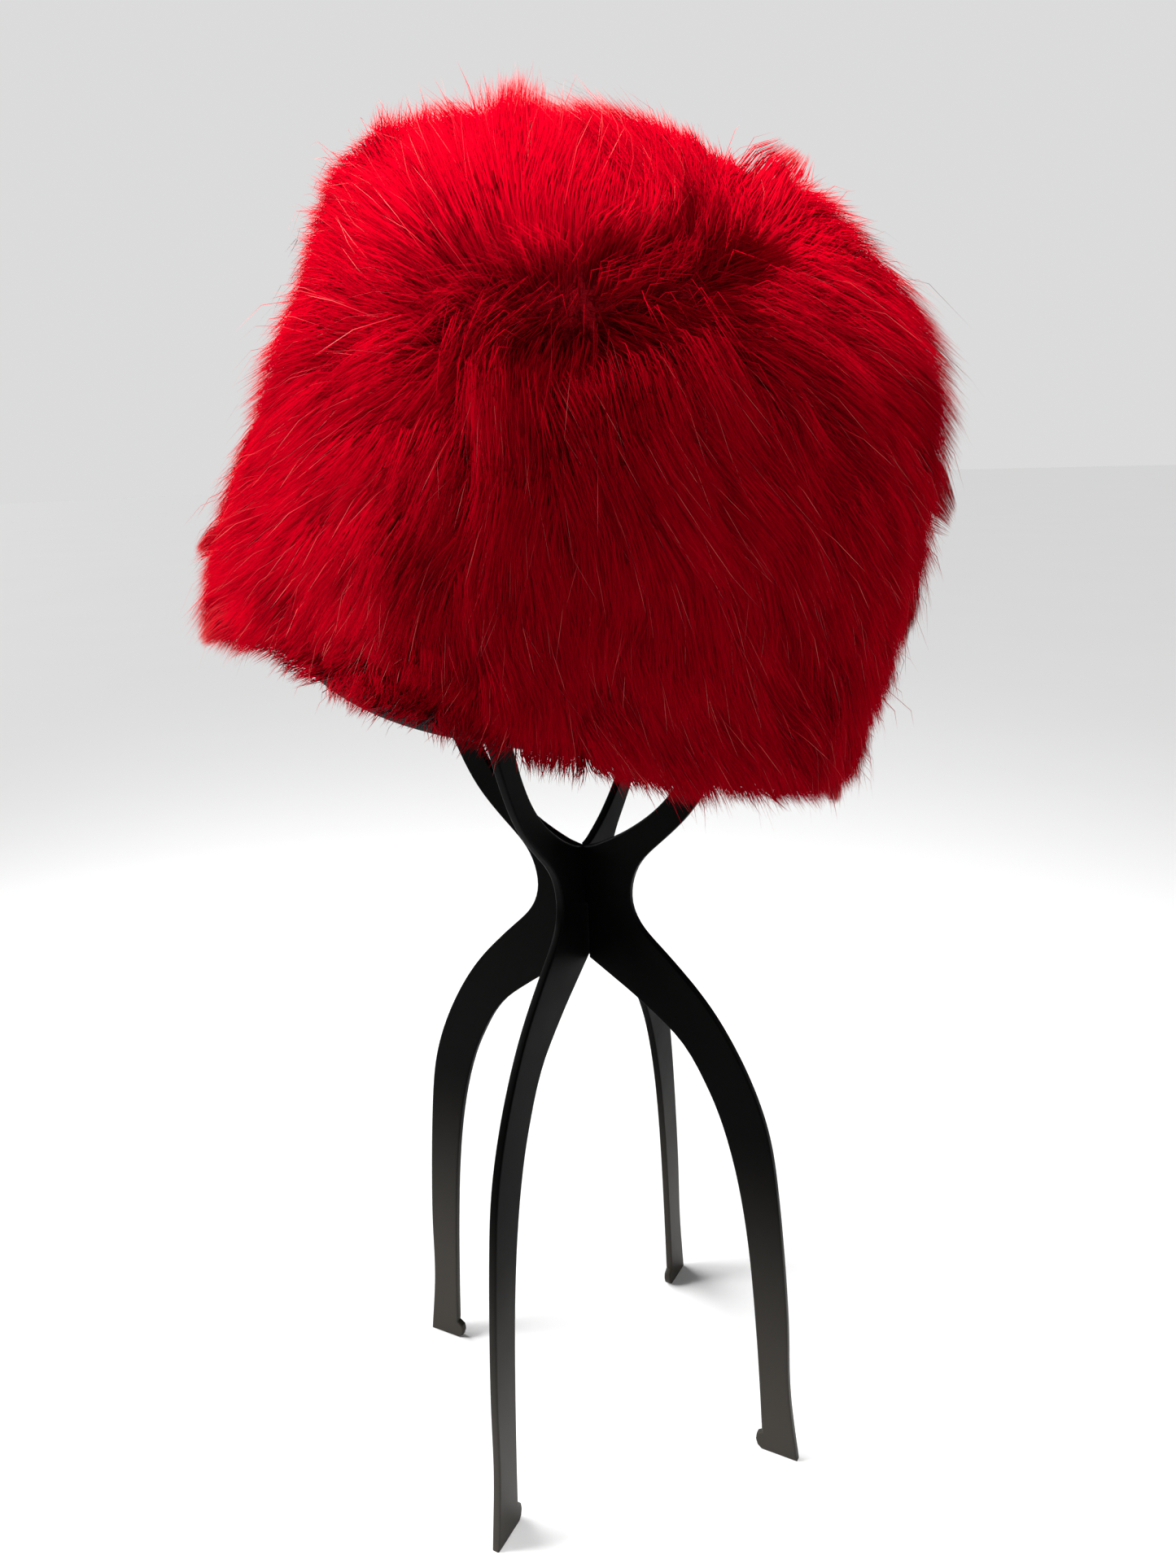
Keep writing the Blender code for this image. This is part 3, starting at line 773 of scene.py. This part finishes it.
def raised(roots, turn, seed):
    """How much higher than elsewhere the pile stands at each root: random waves, the arms and the swells."""
    rise = waves(roots, LIFT_WAVES, seed)
    for arm in arm_turns():
        rise = rise + ARM_RISE * np.exp(6 * (np.cos(turn - arm) - 1))
    places = on_cap(cap_place(np.radians(column(SWELLS, "turn")), column(SWELLS, "climb")), HAIR_LEVEL)
    for place, height, reach in zip(places, column(SWELLS, "rise"), column(SWELLS, "reach")):
        rise = rise + height * bell(np.linalg.norm(roots - place, axis=1), reach)
    return rise


def hair_paths(turn, climb, fur, draw, lift, length, steps=2, loose=0.0, stray=0.0045):
    """The middle lines of hairs, and the cap's outward direction along them.

    Each hair walks along the nap while it rises from the backing. It stands up first and then lies over:
    at a share s of its length its way along the cap is s to the power 1.25, and its height above the cloth
    is the root's height plus the rise times 1 - (1 - s) squared. Pile in a hollow is pressed down, and a hair
    near the rim is cut so that it ends a little below the hem.
    """
    down = hat_turn().T @ np.array([0, 0, -1.0])
    directions = cap_place(turn, climb)
    roots = on_cap(directions, HAIR_LEVEL)
    swirl = waves(roots, SWIRL_WAVES, fur.seed + 1) + draw.normal(0, 0.13, len(roots))
    stray = draw.normal(0, stray, roots.shape)
    share = np.linspace(0, 1, steps + 1)
    passed = share**1.25
    way = walk(directions, length, swirl, down, passed, stray)
    deep = np.minimum(way[:, -1, 2] + CAP_WALL_HEIGHT + below_hem(turn, draw, loose), 0)
    run = np.maximum(roots[:, 2] - way[:, -1, 2], 1e-6)
    cut = np.clip(1 + deep / run, 0.22, 1)
    way = walk(directions, length * cut, swirl, down, passed, stray)
    base = CLOTH_THICKNESS + SEAT_GAP + 0.5 * settings().hat.backing
    tip = (lift + raised(roots, turn, fur.seed + 3)) * (1 - 0.38 * pressed(roots)) * (0.72 + 0.28 * cut)
    height = base + (tip - base)[:, None] * (1 - (1 - share) ** 2)[None]
    normals = plain_normal(way, HAIR_LEVEL)
    points = on_cap(unit_vectors(way), 0.0) + normals * height[..., None]
    placed = worn_shape(points, HAIR_LEVEL)
    return placed, unit_vectors(worn_shape(points + normals * 0.001, HAIR_LEVEL) - placed)


def nearest_rows(points, guides):
    """For each point the row of its nearest guide, worked out in blocks to spare memory."""
    found = np.empty(len(points), np.int64)
    square = (guides**2).sum(1)
    for start in range(0, len(points), 4000):
        block = points[start : start + 4000]
        found[start : start + 4000] = np.argmin(square[None] - 2 * block @ guides.T, axis=1)
    return found


def gathered(paths, roots, guides, strength, power):
    """Hairs drawn to the hair that leads their lock: by a share that grows with a power along the hair.

    Also gives how far each hair lies from its leader, which rounds the lock in the light, and a number from 0
    to 1 for each lock, which gives its hairs a shade in common.
    """
    nearest = nearest_rows(roots, guides[:, 0])
    share = np.linspace(0, 1, paths.shape[1]) ** power
    apart = paths - guides[nearest]
    return paths - apart * (share[None, :, None] * strength), apart, (nearest * 0.618) % 1


def ribbons(name, paths, normals, shine, widths, rolls, tints, material):
    """A mesh of flat tapering ribbons: each point of a path gives two corners half a width to each side,
    across the hair and turned about it by its roll, and the last point is the tip. Light falls on them by the
    shine directions, which follow the form of the fur rather than each ribbon's own flat face."""
    count, rows = paths.shape[:2]
    ahead = np.empty_like(paths)
    ahead[:, 1:-1] = paths[:, 2:] - paths[:, :-2]
    ahead[:, 0] = paths[:, 1] - paths[:, 0]
    ahead[:, -1] = paths[:, -1] - paths[:, -2]
    ahead = unit_vectors(ahead).reshape(-1, 3)
    across = unit_vectors(np.cross(ahead, normals.reshape(-1, 3)))
    across = turned_about(across, ahead, np.repeat(rolls, rows)).reshape(paths.shape)
    shares = np.linspace(0, 1, rows)
    taper = np.where(shares < 1, 0.7 + 0.6 * shares - 0.9 * shares**2, 0)
    half = across * (widths[:, None] * taper[None] / 2)[..., None]
    left, right = paths[:, :-1] - half[:, :-1], paths[:, :-1] + half[:, :-1]
    points = np.concatenate((np.stack((left, right), 2).reshape(count, -1, 3), paths[:, -1:]), 1)
    lit = np.concatenate((np.repeat(shine[:, :-1], 2, axis=1), shine[:, -1:]), 1).reshape(-1, 3)
    each = points.shape[1]
    first = (np.arange(count) * each)[:, None, None]
    step = np.arange(rows - 2)[:, None] * 2
    quads = (first + (step + np.array([0, 1, 3, 2]))[None]).reshape(-1, 4)
    tips = (first[:, 0] + np.array([each - 3, each - 2, each - 1])).reshape(-1, 3)

    mesh = bpy.data.meshes.new(name)
    mesh.vertices.add(count * each)
    mesh.vertices.foreach_set("co", set_on_stand(points.reshape(-1, 3)).astype(np.float32).ravel())
    mesh.loops.add(quads.size + tips.size)
    corners = np.concatenate((quads.ravel(), tips.ravel()))
    mesh.loops.foreach_set("vertex_index", corners.astype(np.int32))
    starts = np.concatenate((np.arange(len(quads)) * 4, quads.size + np.arange(len(tips)) * 3))
    mesh.polygons.add(len(starts))
    mesh.polygons.foreach_set("loop_start", starts.astype(np.int32))
    mesh.update(calc_edges=True)
    mesh.shade_smooth()
    along = np.concatenate((np.repeat(shares[:-1], 2), [1.0]))
    sides = np.concatenate((np.tile([-1.0, 1.0], rows - 1), [0.0]))
    u = tints[:, None] + 0.004 * sides[None]
    v = np.broadcast_to(0.01 + 0.98 * along, (count, each))
    places = np.stack((np.clip(u, 0, 1), v), -1).reshape(-1, 2)
    strand = mesh.uv_layers.new(name="OFBake")
    strand.data.foreach_set("uv", places[corners].astype(np.float32).ravel())
    mesh.materials.append(material)
    mesh.validate()
    mesh.normals_split_custom_set_from_vertices((unit_vectors(lit) @ hat_turn().T).tolist())
    rides(linked(name, mesh), "fur_red")


def set_inputs(tree, node, inputs):
    """Links each named input to a given socket, or sets it to a given value."""
    for name, value in inputs.items():
        if isinstance(value, bpy.types.NodeSocket):
            tree.links.new(value, node.inputs[name])
        else:
            node.inputs[name].default_value = value


def add_node(tree, kind, place, inputs=None, **values):
    made = tree.nodes.new(kind)
    made.location = place
    for name, value in values.items():
        setattr(made, name, value)
    set_inputs(tree, made, inputs or {})
    return made


def calculated(tree, place, operation, first, second=0.5):
    """The result of a sum on two sockets or numbers."""
    return add_node(tree, "ShaderNodeMath", place, {0: first, 1: second}, operation=operation).outputs[0]


def mixed(tree, place, factor, first, second, blend="MIX"):
    """The colour that lies between two colours by a factor, or their blend."""
    inputs = {"Factor": factor, 6: first, 7: second}
    return add_node(tree, "ShaderNodeMix", place, inputs, data_type="RGBA", blend_type=blend).outputs[2]


def smooth_step(tree, place, value, low, high):
    """A share that goes smoothly from 0 at the low value to 1 at the high one."""
    inputs = {"Value": value, "From Min": low, "From Max": high}
    return add_node(tree, "ShaderNodeMapRange", place, inputs, interpolation_type="SMOOTHSTEP").outputs[0]


def bumped(tree, shader, place, height, strength, distance):
    """Gives a shader's surface a bump of the given height."""
    inputs = {"Height": height, "Strength": strength, "Distance": distance}
    set_inputs(tree, shader, {"Normal": add_node(tree, "ShaderNodeBump", place, inputs).outputs["Normal"]})


def new_group(name, colours, numbers, outputs):
    """An empty node group with colour inputs, number inputs with their defaults, and outputs."""
    group = bpy.data.node_groups.new(name, "ShaderNodeTree")
    face = group.interface
    for socket in colours:
        face.new_socket(name=socket, in_out="INPUT", socket_type="NodeSocketColor")
    for socket, value in numbers.items():
        face.new_socket(name=socket, in_out="INPUT", socket_type="NodeSocketFloat").default_value = value
    for socket, kind in outputs.items():
        face.new_socket(name=socket, in_out="OUTPUT", socket_type=f"NodeSocket{kind}")
    return group


def wear_group():
    """A node group that gives fine grain and soft stains: two noises of the object's own coordinates."""
    found = bpy.data.node_groups.get("grain_and_stains")
    if found:
        return found
    scales = {"Grain Scale": 900.0, "Stain Scale": 40.0}
    group = new_group("grain_and_stains", (), scales, {"Grain": "Float", "Stains": "Float"})
    given = add_node(group, "NodeGroupInput", (-700, 0)).outputs
    place = add_node(group, "ShaderNodeTexCoord", (-700, -250)).outputs["Object"]
    kinds = (("Grain", "Grain Scale", 3.0, 100), ("Stains", "Stain Scale", 5.0, -200))
    noises = {}
    for name, scale, detail, height in kinds:
        inputs = {"Vector": place, "Scale": given[scale], "Detail": detail, "Roughness": 0.6}
        noises[name] = add_node(group, "ShaderNodeTexNoise", (-350, height), inputs).outputs["Fac"]
    add_node(group, "NodeGroupOutput", (400, 0), noises)
    return group


def wear_node(tree, place, grain=900, stain=40):
    """The outputs of grain and stains at the given scales."""
    scales = {"Grain Scale": grain, "Stain Scale": stain}
    return add_node(tree, "ShaderNodeGroup", place, scales, node_tree=wear_group()).outputs


def stained(tree, place, stains, colour, dark, light):
    """A colour that the stains take from a darker to a lighter share of it."""
    ends = [(*[share * part for part in colour], 1) for share in (dark, light)]
    return mixed(tree, place, stains, *ends)


def hair_group():
    """A node group that colours a hair along its length and from hair to hair.

    The strand's map gives a random tint across and the share of the length along. The colour goes from the
    root's to the body's over the first half, then to the tip's from where the tip starts, and the tint
    darkens or lightens the whole hair a little.
    """
    found = bpy.data.node_groups.get("hair_colour")
    if found:
        return found
    numbers = {"Tip Start": 0.7, "Tip Share": 0.5, "Variation": 0.4}
    group = new_group("hair_colour", ("Root", "Body", "Tip"), numbers, {"Color": "Color"})
    given = add_node(group, "NodeGroupInput", (-1100, 0)).outputs
    strand = add_node(group, "ShaderNodeUVMap", (-1100, -350), uv_map="OFBake").outputs["UV"]
    parts = add_node(group, "ShaderNodeSeparateXYZ", (-900, -350), {"Vector": strand}).outputs
    near_root = smooth_step(group, (-650, 150), parts["Y"], 0.05, 0.62)
    body = mixed(group, (-350, 150), near_root, given["Root"], given["Body"])
    near_tip = smooth_step(group, (-650, -150), parts["Y"], given["Tip Start"], 1.0)
    scattered = calculated(group, (-650, -450), "MULTIPLY", parts["X"], 57.3)
    fraction = calculated(group, (-450, -450), "FRACT", scattered)
    chosen = calculated(group, (-250, -450), "LESS_THAN", fraction, given["Tip Share"])
    tipped = calculated(group, (-50, -250), "MULTIPLY", near_tip, chosen)
    whole = mixed(group, (150, 100), tipped, body, given["Tip"])
    low = calculated(group, (-50, -600), "SUBTRACT", 1.0, given["Variation"])
    shades = {"Value": parts["X"], "To Min": low, "To Max": 1.0}
    shade = add_node(group, "ShaderNodeMapRange", (150, -500), shades).outputs["Result"]
    tinted = mixed(group, (450, 0), 1.0, whole, shade, "MULTIPLY")
    add_node(group, "NodeGroupOutput", (900, 0), {"Color": tinted})
    return group


def new_material(name, colour, roughness):
    made = bpy.data.materials.new(name)
    made.use_nodes = True
    tree = made.node_tree
    shader = tree.nodes["Principled BSDF"]
    set_inputs(tree, shader, {"Base Color": (*colour, 1), "Roughness": roughness})
    return made, tree, shader


def plastic_material(colour):
    """Black moulded plastic: a semi-gloss skin with a faint orange-peel grain and softly stained gloss.

    The hub and the arms are dull and deep black. Towards the feet the skin is glossier, and greyer by a painted
    reflection of the white floor: a share that grows from 0 at 140 mm above the floor to 1 at 10 mm, eased.
    """
    made, tree, shader = new_material("moulded_black_plastic", colour, 0.36)
    wear = wear_node(tree, (-700, 0), 1400, 34)
    gloss = {"Value": wear["Stains"], "From Min": 0.3, "From Max": 0.7, "To Min": 0.30, "To Max": 0.46}
    gloss = add_node(tree, "ShaderNodeMapRange", (-400, 0), gloss).outputs["Result"]
    shade = stained(tree, (-400, 250), wear["Stains"], colour, 0.75, 1.5)
    place = add_node(tree, "ShaderNodeTexCoord", (-1000, 500)).outputs["Object"]
    height = add_node(tree, "ShaderNodeSeparateXYZ", (-800, 500), {"Vector": place}).outputs["Z"]
    low = smooth_step(tree, (-600, 500), height, 0.140, 0.010)
    # Painted reflection: towards the feet the colour is mixed with a warm grey that stands in for the white
    # floor's reflection
    floor_reflected = mixed(tree, (-150, 350), low, shade, FLOOR_REFLECTION_GREY)
    coat = calculated(tree, (-150, 600), "MULTIPLY", low, 0.30)
    set_inputs(tree, shader, {"Base Color": floor_reflected, "Roughness": gloss, "Specular IOR Level": 0.02})
    set_inputs(tree, shader, {"Coat Weight": coat, "Coat Roughness": 0.38})
    bumped(tree, shader, (-400, -250), wear["Grain"], 0.12, 0.0002)
    return made


def cloth_material(colour):
    """Black knit: a dull cloth with fine rows of stitches, uneven in tone, and a little sheen."""
    made, tree, shader = new_material("lining_knit", colour, 0.9)
    place = add_node(tree, "ShaderNodeTexCoord", (-1000, -200)).outputs["Object"]
    stitches = {"Vector": place, "Scale": 420, "Distortion": 1.4}
    rows = add_node(tree, "ShaderNodeTexWave", (-750, -100), stitches, bands_direction="Z").outputs["Fac"]
    columns = add_node(tree, "ShaderNodeTexWave", (-750, -400), stitches, bands_direction="X").outputs["Fac"]
    woven = calculated(tree, (-500, -250), "MULTIPLY", rows, columns)
    bumped(tree, shader, (-300, -250), woven, 0.35, 0.0004)
    stains = wear_node(tree, (-750, 200), 600)["Stains"]
    shade = stained(tree, (-400, 250), stains, colour, 0.6, 2.0)
    set_inputs(tree, shader, {"Base Color": shade, "Sheen Weight": 0.08, "Specular IOR Level": 0.1})
    return made


def backing_material(root):
    """The matted roots of the pile: dark red, mottled, rough and quite dull."""
    made, tree, shader = new_material("matted_roots", root, 0.95)
    wear = wear_node(tree, (-700, 0), 700, 90)
    shade = stained(tree, (-400, 150), wear["Stains"], root, 0.25, 1.4)
    set_inputs(tree, shader, {"Base Color": shade, "Specular IOR Level": 0.02})
    bumped(tree, shader, (-400, -200), wear["Grain"], 0.6, 0.001)
    return made


def hair_material(name, fur, pale, tip_start, tip_share, shine):
    """Soft hair: the hair group's colour on a shader with a broad, weak and pinkish shine, or none.

    A share of the hairs have tips, whose colour goes by the pale share from the body's to the guard tips'; that
    pale tip colour is partly a painted glint.
    """
    made, tree, shader = new_material(name, fur.body, 0.5)
    tip = [(1 - pale) * a + pale * b for a, b in zip(fur.body, fur.tip)]
    inputs = {"Root": (*fur.root, 1), "Body": (*fur.body, 1), "Tip": (*tip, 1)}
    inputs.update({"Tip Start": tip_start, "Tip Share": tip_share, "Variation": 0.28})
    hair = add_node(tree, "ShaderNodeGroup", (-500, 0), inputs, node_tree=hair_group())
    set_inputs(tree, shader, {"Base Color": hair.outputs["Color"], "Specular IOR Level": shine})
    set_inputs(tree, shader, {"Specular Tint": (1.0, 0.35, 0.38, 1)})
    return made


def settings():
    return bpy.context.scene.fur_beanie


def rides(piece, slot, *replaced):
    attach(piece, "root")
    if replaced:
        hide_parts(*replaced)
    return piece


class BEANIE_OT_plates(bpy.types.Operator):
    """Builds both slotted plates of the stand with smooth outlines and rounded edges"""

    bl_idname = "beanie.plates"
    bl_label = "Stand plates"

    def execute(self, context):
        stand = settings().stand
        plastic = plastic_material(stand.plastic)
        for name, slot_from, turn in (("a", "bottom", PLATE_TURN), ("b", "top", PLATE_TURN + math.pi / 2)):
            points, faces = plate_surface(slot_from, turn, stand.edge_round)
            plate = mesh_piece(f"moulded_plate_{name}", points, faces, plastic, math.radians(40))
            rides(plate, "plastic_black", f"stand_plate_{name}")
        return {"FINISHED"}


class BEANIE_OT_lining(bpy.types.Operator):
    """Builds the thin cloth lining with its soft folds and sagging hem"""

    bl_idname = "beanie.lining"
    bl_label = "Lining"

    def execute(self, context):
        hat = settings().hat
        points, faces = lining_surface(hat.fold_depth)
        lining = mesh_piece("cloth_lining", points, faces, cloth_material(hat.cloth))
        rides(lining, "cloth_black", "hat_lining")
        return {"FINISHED"}


class BEANIE_OT_backing(bpy.types.Operator):
    """Builds the backing of the fur with the matted roots of the pile"""

    bl_idname = "beanie.backing"
    bl_label = "Fur backing"

    def execute(self, context):
        points, faces = backing_surface(settings().hat.backing)
        backing = mesh_piece("fur_backing", points, faces, backing_material(settings().fur.root))
        rides(backing, "fur_red", "hat_fur")
        return {"FINISHED"}


class BEANIE_OT_pile(bpy.types.Operator):
    """Builds the pile, one mesh of ribbons for each quarter of the hat"""

    bl_idname = "beanie.pile"
    bl_label = "Pile"

    def execute(self, context):
        fur = settings().fur
        draw = np.random.default_rng(fur.seed)
        locks = self.leaders(fur, fur.locks, 0.0042, np.random.default_rng(fur.seed + 10))
        wisps = self.leaders(fur, fur.wisps, 0.0017, np.random.default_rng(fur.seed + 20))
        hair = hair_material("pile_hair", fur, 0.02, 0.70, 0.30, 0.0)
        count = fur.pile_strands * 4
        turn, climb = even_roots(count, draw)
        length = fur.length * draw.uniform(0.62, 1.18, count)
        lift = fur.lift + draw.normal(0, 0.0018, count)
        paths, normals = hair_paths(turn, climb, fur, draw, lift, length)
        roots = paths[:, 0]
        paths, in_wisp, wisp_tint = gathered(paths, roots, wisps, strength=0.34, power=1.3)
        paths, in_lock, lock_tint = gathered(paths, roots, locks, strength=0.26, power=1.6)
        share = np.linspace(0, 1, paths.shape[1])[None, :, None]
        paths = paths + (draw.normal(0, 0.0011, (count, 1, 3)) + draw.normal(0, 0.0005, paths.shape)) * share
        shine = light_on_form(cap_place(turn, climb), normals) + draw.normal(0, 0.08, (count, 1, 3))
        shine = shine + (50 * in_wisp + 24 * in_lock).clip(-0.4, 0.4)
        widths = fur.width * draw.uniform(0.6, 1.25, count)
        rolls = draw.normal(0, 0.5, count)
        tints = 0.02 + 0.96 * (0.5 * draw.uniform(0, 1, count) + 0.3 * wisp_tint + 0.2 * lock_tint)
        hairs = (paths, normals, shine, widths, rolls, tints)
        for quarter, name in enumerate(("right", "back", "left", "front")):
            inside = ((turn + math.pi / 4) % math.tau // (math.pi / 2)).astype(int) == quarter
            ribbons(f"fur_pile_{name}", *(part[inside] for part in hairs), hair)
        return {"FINISHED"}

    @staticmethod
    def leaders(fur, count, spread, draw):
        """The hairs that lead the locks or wisps, evenly over the hat."""
        turn, climb = even_roots(count, draw)
        lift = fur.lift + draw.normal(0, spread, count)
        paths, _ = hair_paths(turn, climb, fur, draw, lift, np.full(count, fur.length), stray=0.001)
        return paths


class BEANIE_OT_guard_hairs(bpy.types.Operator):
    """Builds the long pale-tipped guard hairs and the tufts that stand out of the pile"""

    bl_idname = "beanie.guard_hairs"
    bl_label = "Guard hairs"

    def execute(self, context):
        fur = settings().fur
        draw = np.random.default_rng(fur.seed + 30)
        count = fur.guard_strands
        turn, climb = even_roots(count, draw)
        length = fur.length * draw.uniform(0.85, 1.3, count)
        lift = fur.lift + 0.0022 + draw.normal(0, 0.0022, count)
        paths, normals = hair_paths(turn, climb, fur, draw, lift, length, 3, 0.008)
        paths = paths + draw.normal(0, 0.0016, (count, 1, 3)) * np.linspace(0, 1, 4)[None, :, None]
        widths = 0.7 * fur.width * draw.uniform(0.5, 1.2, count)
        hair = hair_material("guard_hair", fur, 1, 0.50, 0.42, 0.02)
        self.scattered("guard_hairs", paths, normals, cap_place(turn, climb), widths, 0.5, draw, hair)
        self.tufts(fur, draw)
        return {"FINISHED"}

    def tufts(self, fur, draw):
        """The tufts: hairs rooted close to a place, standing out of the pile and gathered to their mean."""
        spread, number = 0.10, 300
        rows = len(TUFTS) - 1
        count = rows * number
        turn, climb, proud, length = (
            np.repeat(column(TUFTS, name), number) for name in ("turn", "climb", "lift", "length")
        )
        turn = np.radians(turn) + draw.normal(0, spread / 2, count)
        climb = np.clip(climb + draw.normal(0, spread / 2, count), 0.02, 1.98)
        lift = fur.lift + draw.normal(0, 0.0012, count)
        length = fur.length * length * draw.uniform(0.7, 1.1, count)
        paths, normals = hair_paths(turn, climb, fur, draw, lift, length, 3, 0.012)
        proud = proud * draw.uniform(0.6, 1.0, count)
        share = np.linspace(0, 1, 4)
        paths = paths + normals * (proud[:, None] * share**1.6)[..., None]
        lead = np.array([paths[i * number : (i + 1) * number].mean(0) for i in range(rows)])
        paths = paths + (np.repeat(lead, number, axis=0) - paths) * (0.72 * share**1.3)[None, :, None]
        widths = fur.width * draw.uniform(0.6, 1.2, count)
        hair = hair_material("tuft_hair", fur, 0.3, 0.7, 0.4, 0.01)
        self.scattered("fur_tufts", paths, normals, cap_place(turn, climb), widths, 0.7, draw, hair)

    @staticmethod
    def scattered(name, paths, normals, directions, widths, roll, draw, hair):
        """Ribbons whose light, roll and tint are each drawn for themselves, with no lock in common."""
        count = len(paths)
        shine = light_on_form(directions, normals) + draw.normal(0, 0.2, (count, 1, 3))
        rolls = draw.normal(0, roll, count)
        ribbons(name, paths, normals, shine, widths, rolls, draw.uniform(0.02, 0.98, count), hair)


class BEANIE_OT_stage(bpy.types.Operator):
    """Sets the plain floor, the soft lights and the camera"""

    bl_idname = "beanie.stage"
    bl_label = "Stage"

    def execute(self, context):
        stage = settings().stage
        self.floor(stage)
        axis = stand_axis()
        aim = Vector((axis[0], axis[1], AIM_HEIGHT))
        self.light("room_light", "SUN", (-0.75, 0.35, 0.95), aim, math.radians(50), stage.sun_power)
        self.light("key_light", "AREA", (-0.66, -0.04, 0.45), aim, 0.30, stage.key_power)
        self.light("top_light", "AREA", (0.04, -0.16, 0.80), aim, 0.30, stage.top_power, math.radians(100))
        self.light("fill_light", "AREA", (0.74, -0.26, 0.50), aim, 0.5, stage.fill_power)
        world = context.scene.world or bpy.data.worlds.new("surround")
        context.scene.world = world
        world.use_nodes = True
        tree = world.node_tree
        tree.nodes.clear()
        even = {"Color": (1, 1, 1, 1), "Strength": stage.surround}
        even = add_node(tree, "ShaderNodeBackground", (0, 100), even)
        seen = add_node(tree, "ShaderNodeBackground", (0, -100), {"Color": (*[SEEN_GREY] * 3, 1)})
        ray = add_node(tree, "ShaderNodeLightPath", (0, 350)).outputs["Is Camera Ray"]
        mix = {"Fac": ray, 1: even.outputs[0], 2: seen.outputs[0]}
        mix = add_node(tree, "ShaderNodeMixShader", (250, 0), mix)
        add_node(tree, "ShaderNodeOutputWorld", (500, 0), {"Surface": mix.outputs[0]})
        context.scene.view_settings.view_transform = "Standard"
        self.camera(axis)
        return {"FINISHED"}

    @staticmethod
    def floor(stage):
        """A round, plain floor: rings of points that grow outwards by their square."""
        rings, around = 16, 96
        turn = np.linspace(0, math.tau, around, endpoint=False)
        reach = FLOOR_REACH * np.linspace(0.05, 1, rings) ** 2
        level = np.zeros((rings, around))
        points = np.stack((np.outer(reach, np.cos(turn)), np.outer(reach, np.sin(turn)), level), -1)
        faces = grid_faces(rings, around, True)[:, ::-1].tolist() + [list(range(around))]
        material, tree, shader = new_material("plain_floor", stage.floor, 0.85)
        stains = wear_node(tree, (-600, 0), stain=3)["Stains"]
        shade = stained(tree, (-300, 0), stains, stage.floor, 0.98, 1.01)
        set_inputs(tree, shader, {"Base Color": shade})
        mesh_piece("studio_floor", points.reshape(-1, 3), faces, material)

    @staticmethod
    def light(name, kind, place, aim, size, power, spread=math.pi):
        """A soft white light aimed at the hat: a sun's size is an angle, a round light's is in metres.

        The spread is the whole angle into which a round light shines.
        """
        data = bpy.data.lights.new(name, kind)
        data.energy = power
        if kind == "SUN":
            data.angle = size
        else:
            data.shape = "DISK"
            data.size = size
            data.spread = spread
        lamp = linked(name, data)
        lamp.location = place
        lamp.rotation_euler = (aim - Vector(place)).to_track_quat("-Z", "Y").to_euler()

    @staticmethod
    def camera(axis):
        """The photo's camera: its place from the stand's axis, and its yaw, downward pitch and roll."""
        focal_pixels, long_side = 1446.0, 1927.0
        distance, height = 0.4052, 0.3792
        yaw, pitch, roll = math.radians(0.37), math.radians(15.96), math.radians(-1.92)
        forward = Vector((math.sin(yaw) * math.cos(pitch), math.cos(yaw) * math.cos(pitch), -math.sin(pitch)))
        level = Vector((math.cos(yaw), -math.sin(yaw), 0))
        upright = level.cross(forward)
        right = math.cos(roll) * level + math.sin(roll) * upright
        up = -math.sin(roll) * level + math.cos(roll) * upright
        data = bpy.data.cameras.new("photo_camera")
        data.sensor_width = 36
        data.lens = data.sensor_width * focal_pixels / long_side
        data.clip_start = 0.01
        seen_from = linked("photo_camera", data)
        turn = Matrix((right, up, -forward)).transposed().to_4x4()
        place = Matrix.Translation((axis[0], axis[1] - distance, height))
        seen_from.matrix_world = place @ turn
        bpy.context.scene.camera = seen_from


class BEANIE_PT_panel(bpy.types.Panel):
    """Lists the pieces of the hat and the stand"""

    bl_idname = "BEANIE_PT_panel"
    bl_label = "Fur Beanie"
    bl_space_type = "VIEW_3D"
    bl_region_type = "UI"
    bl_category = "Fur Beanie"

    def draw(self, context):
        parts = context.scene.fur_beanie
        for group, operators in (
            (parts.stand, ("beanie.plates",)),
            (parts.hat, ("beanie.lining", "beanie.backing")),
            (parts.fur, ("beanie.pile", "beanie.guard_hairs")),
            (parts.stage, ("beanie.stage",)),
        ):
            box = self.layout.box()
            for name in group.__annotations__:
                box.prop(group, name)
            for operator in operators:
                box.operator(operator)


class BeanieSettings(bpy.types.PropertyGroup):
    stand: PointerProperty(type=BeanieStandSettings, name="Stand", description="The stand's size and colour")
    hat: PointerProperty(type=BeanieHatSettings, name="Hat", description="Sizes and colour of the cloth")
    fur: PointerProperty(type=BeanieFurSettings, name="Fur", description="Sizes and colours of the fur")
    stage: PointerProperty(type=BeanieStageSettings, name="Stage", description="Lights and floor")


CLASSES = (
    BeanieStandSettings,
    BeanieHatSettings,
    BeanieFurSettings,
    BeanieStageSettings,
    BeanieSettings,
    BEANIE_OT_plates,
    BEANIE_OT_lining,
    BEANIE_OT_backing,
    BEANIE_OT_pile,
    BEANIE_OT_guard_hairs,
    BEANIE_OT_stage,
    BEANIE_PT_panel,
)


def register():
    for kind in CLASSES:
        bpy.utils.register_class(kind)
    bpy.types.Scene.fur_beanie = PointerProperty(type=BeanieSettings)


def unregister():
    del bpy.types.Scene.fur_beanie
    for kind in reversed(CLASSES):
        bpy.utils.unregister_class(kind)


def main():
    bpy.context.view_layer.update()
    register()
    bpy.ops.beanie.stage()
    bpy.ops.beanie.plates()
    bpy.ops.beanie.lining()
    bpy.ops.beanie.backing()
    bpy.ops.beanie.pile()
    bpy.ops.beanie.guard_hairs()


if __name__ == "__main__":
    main()
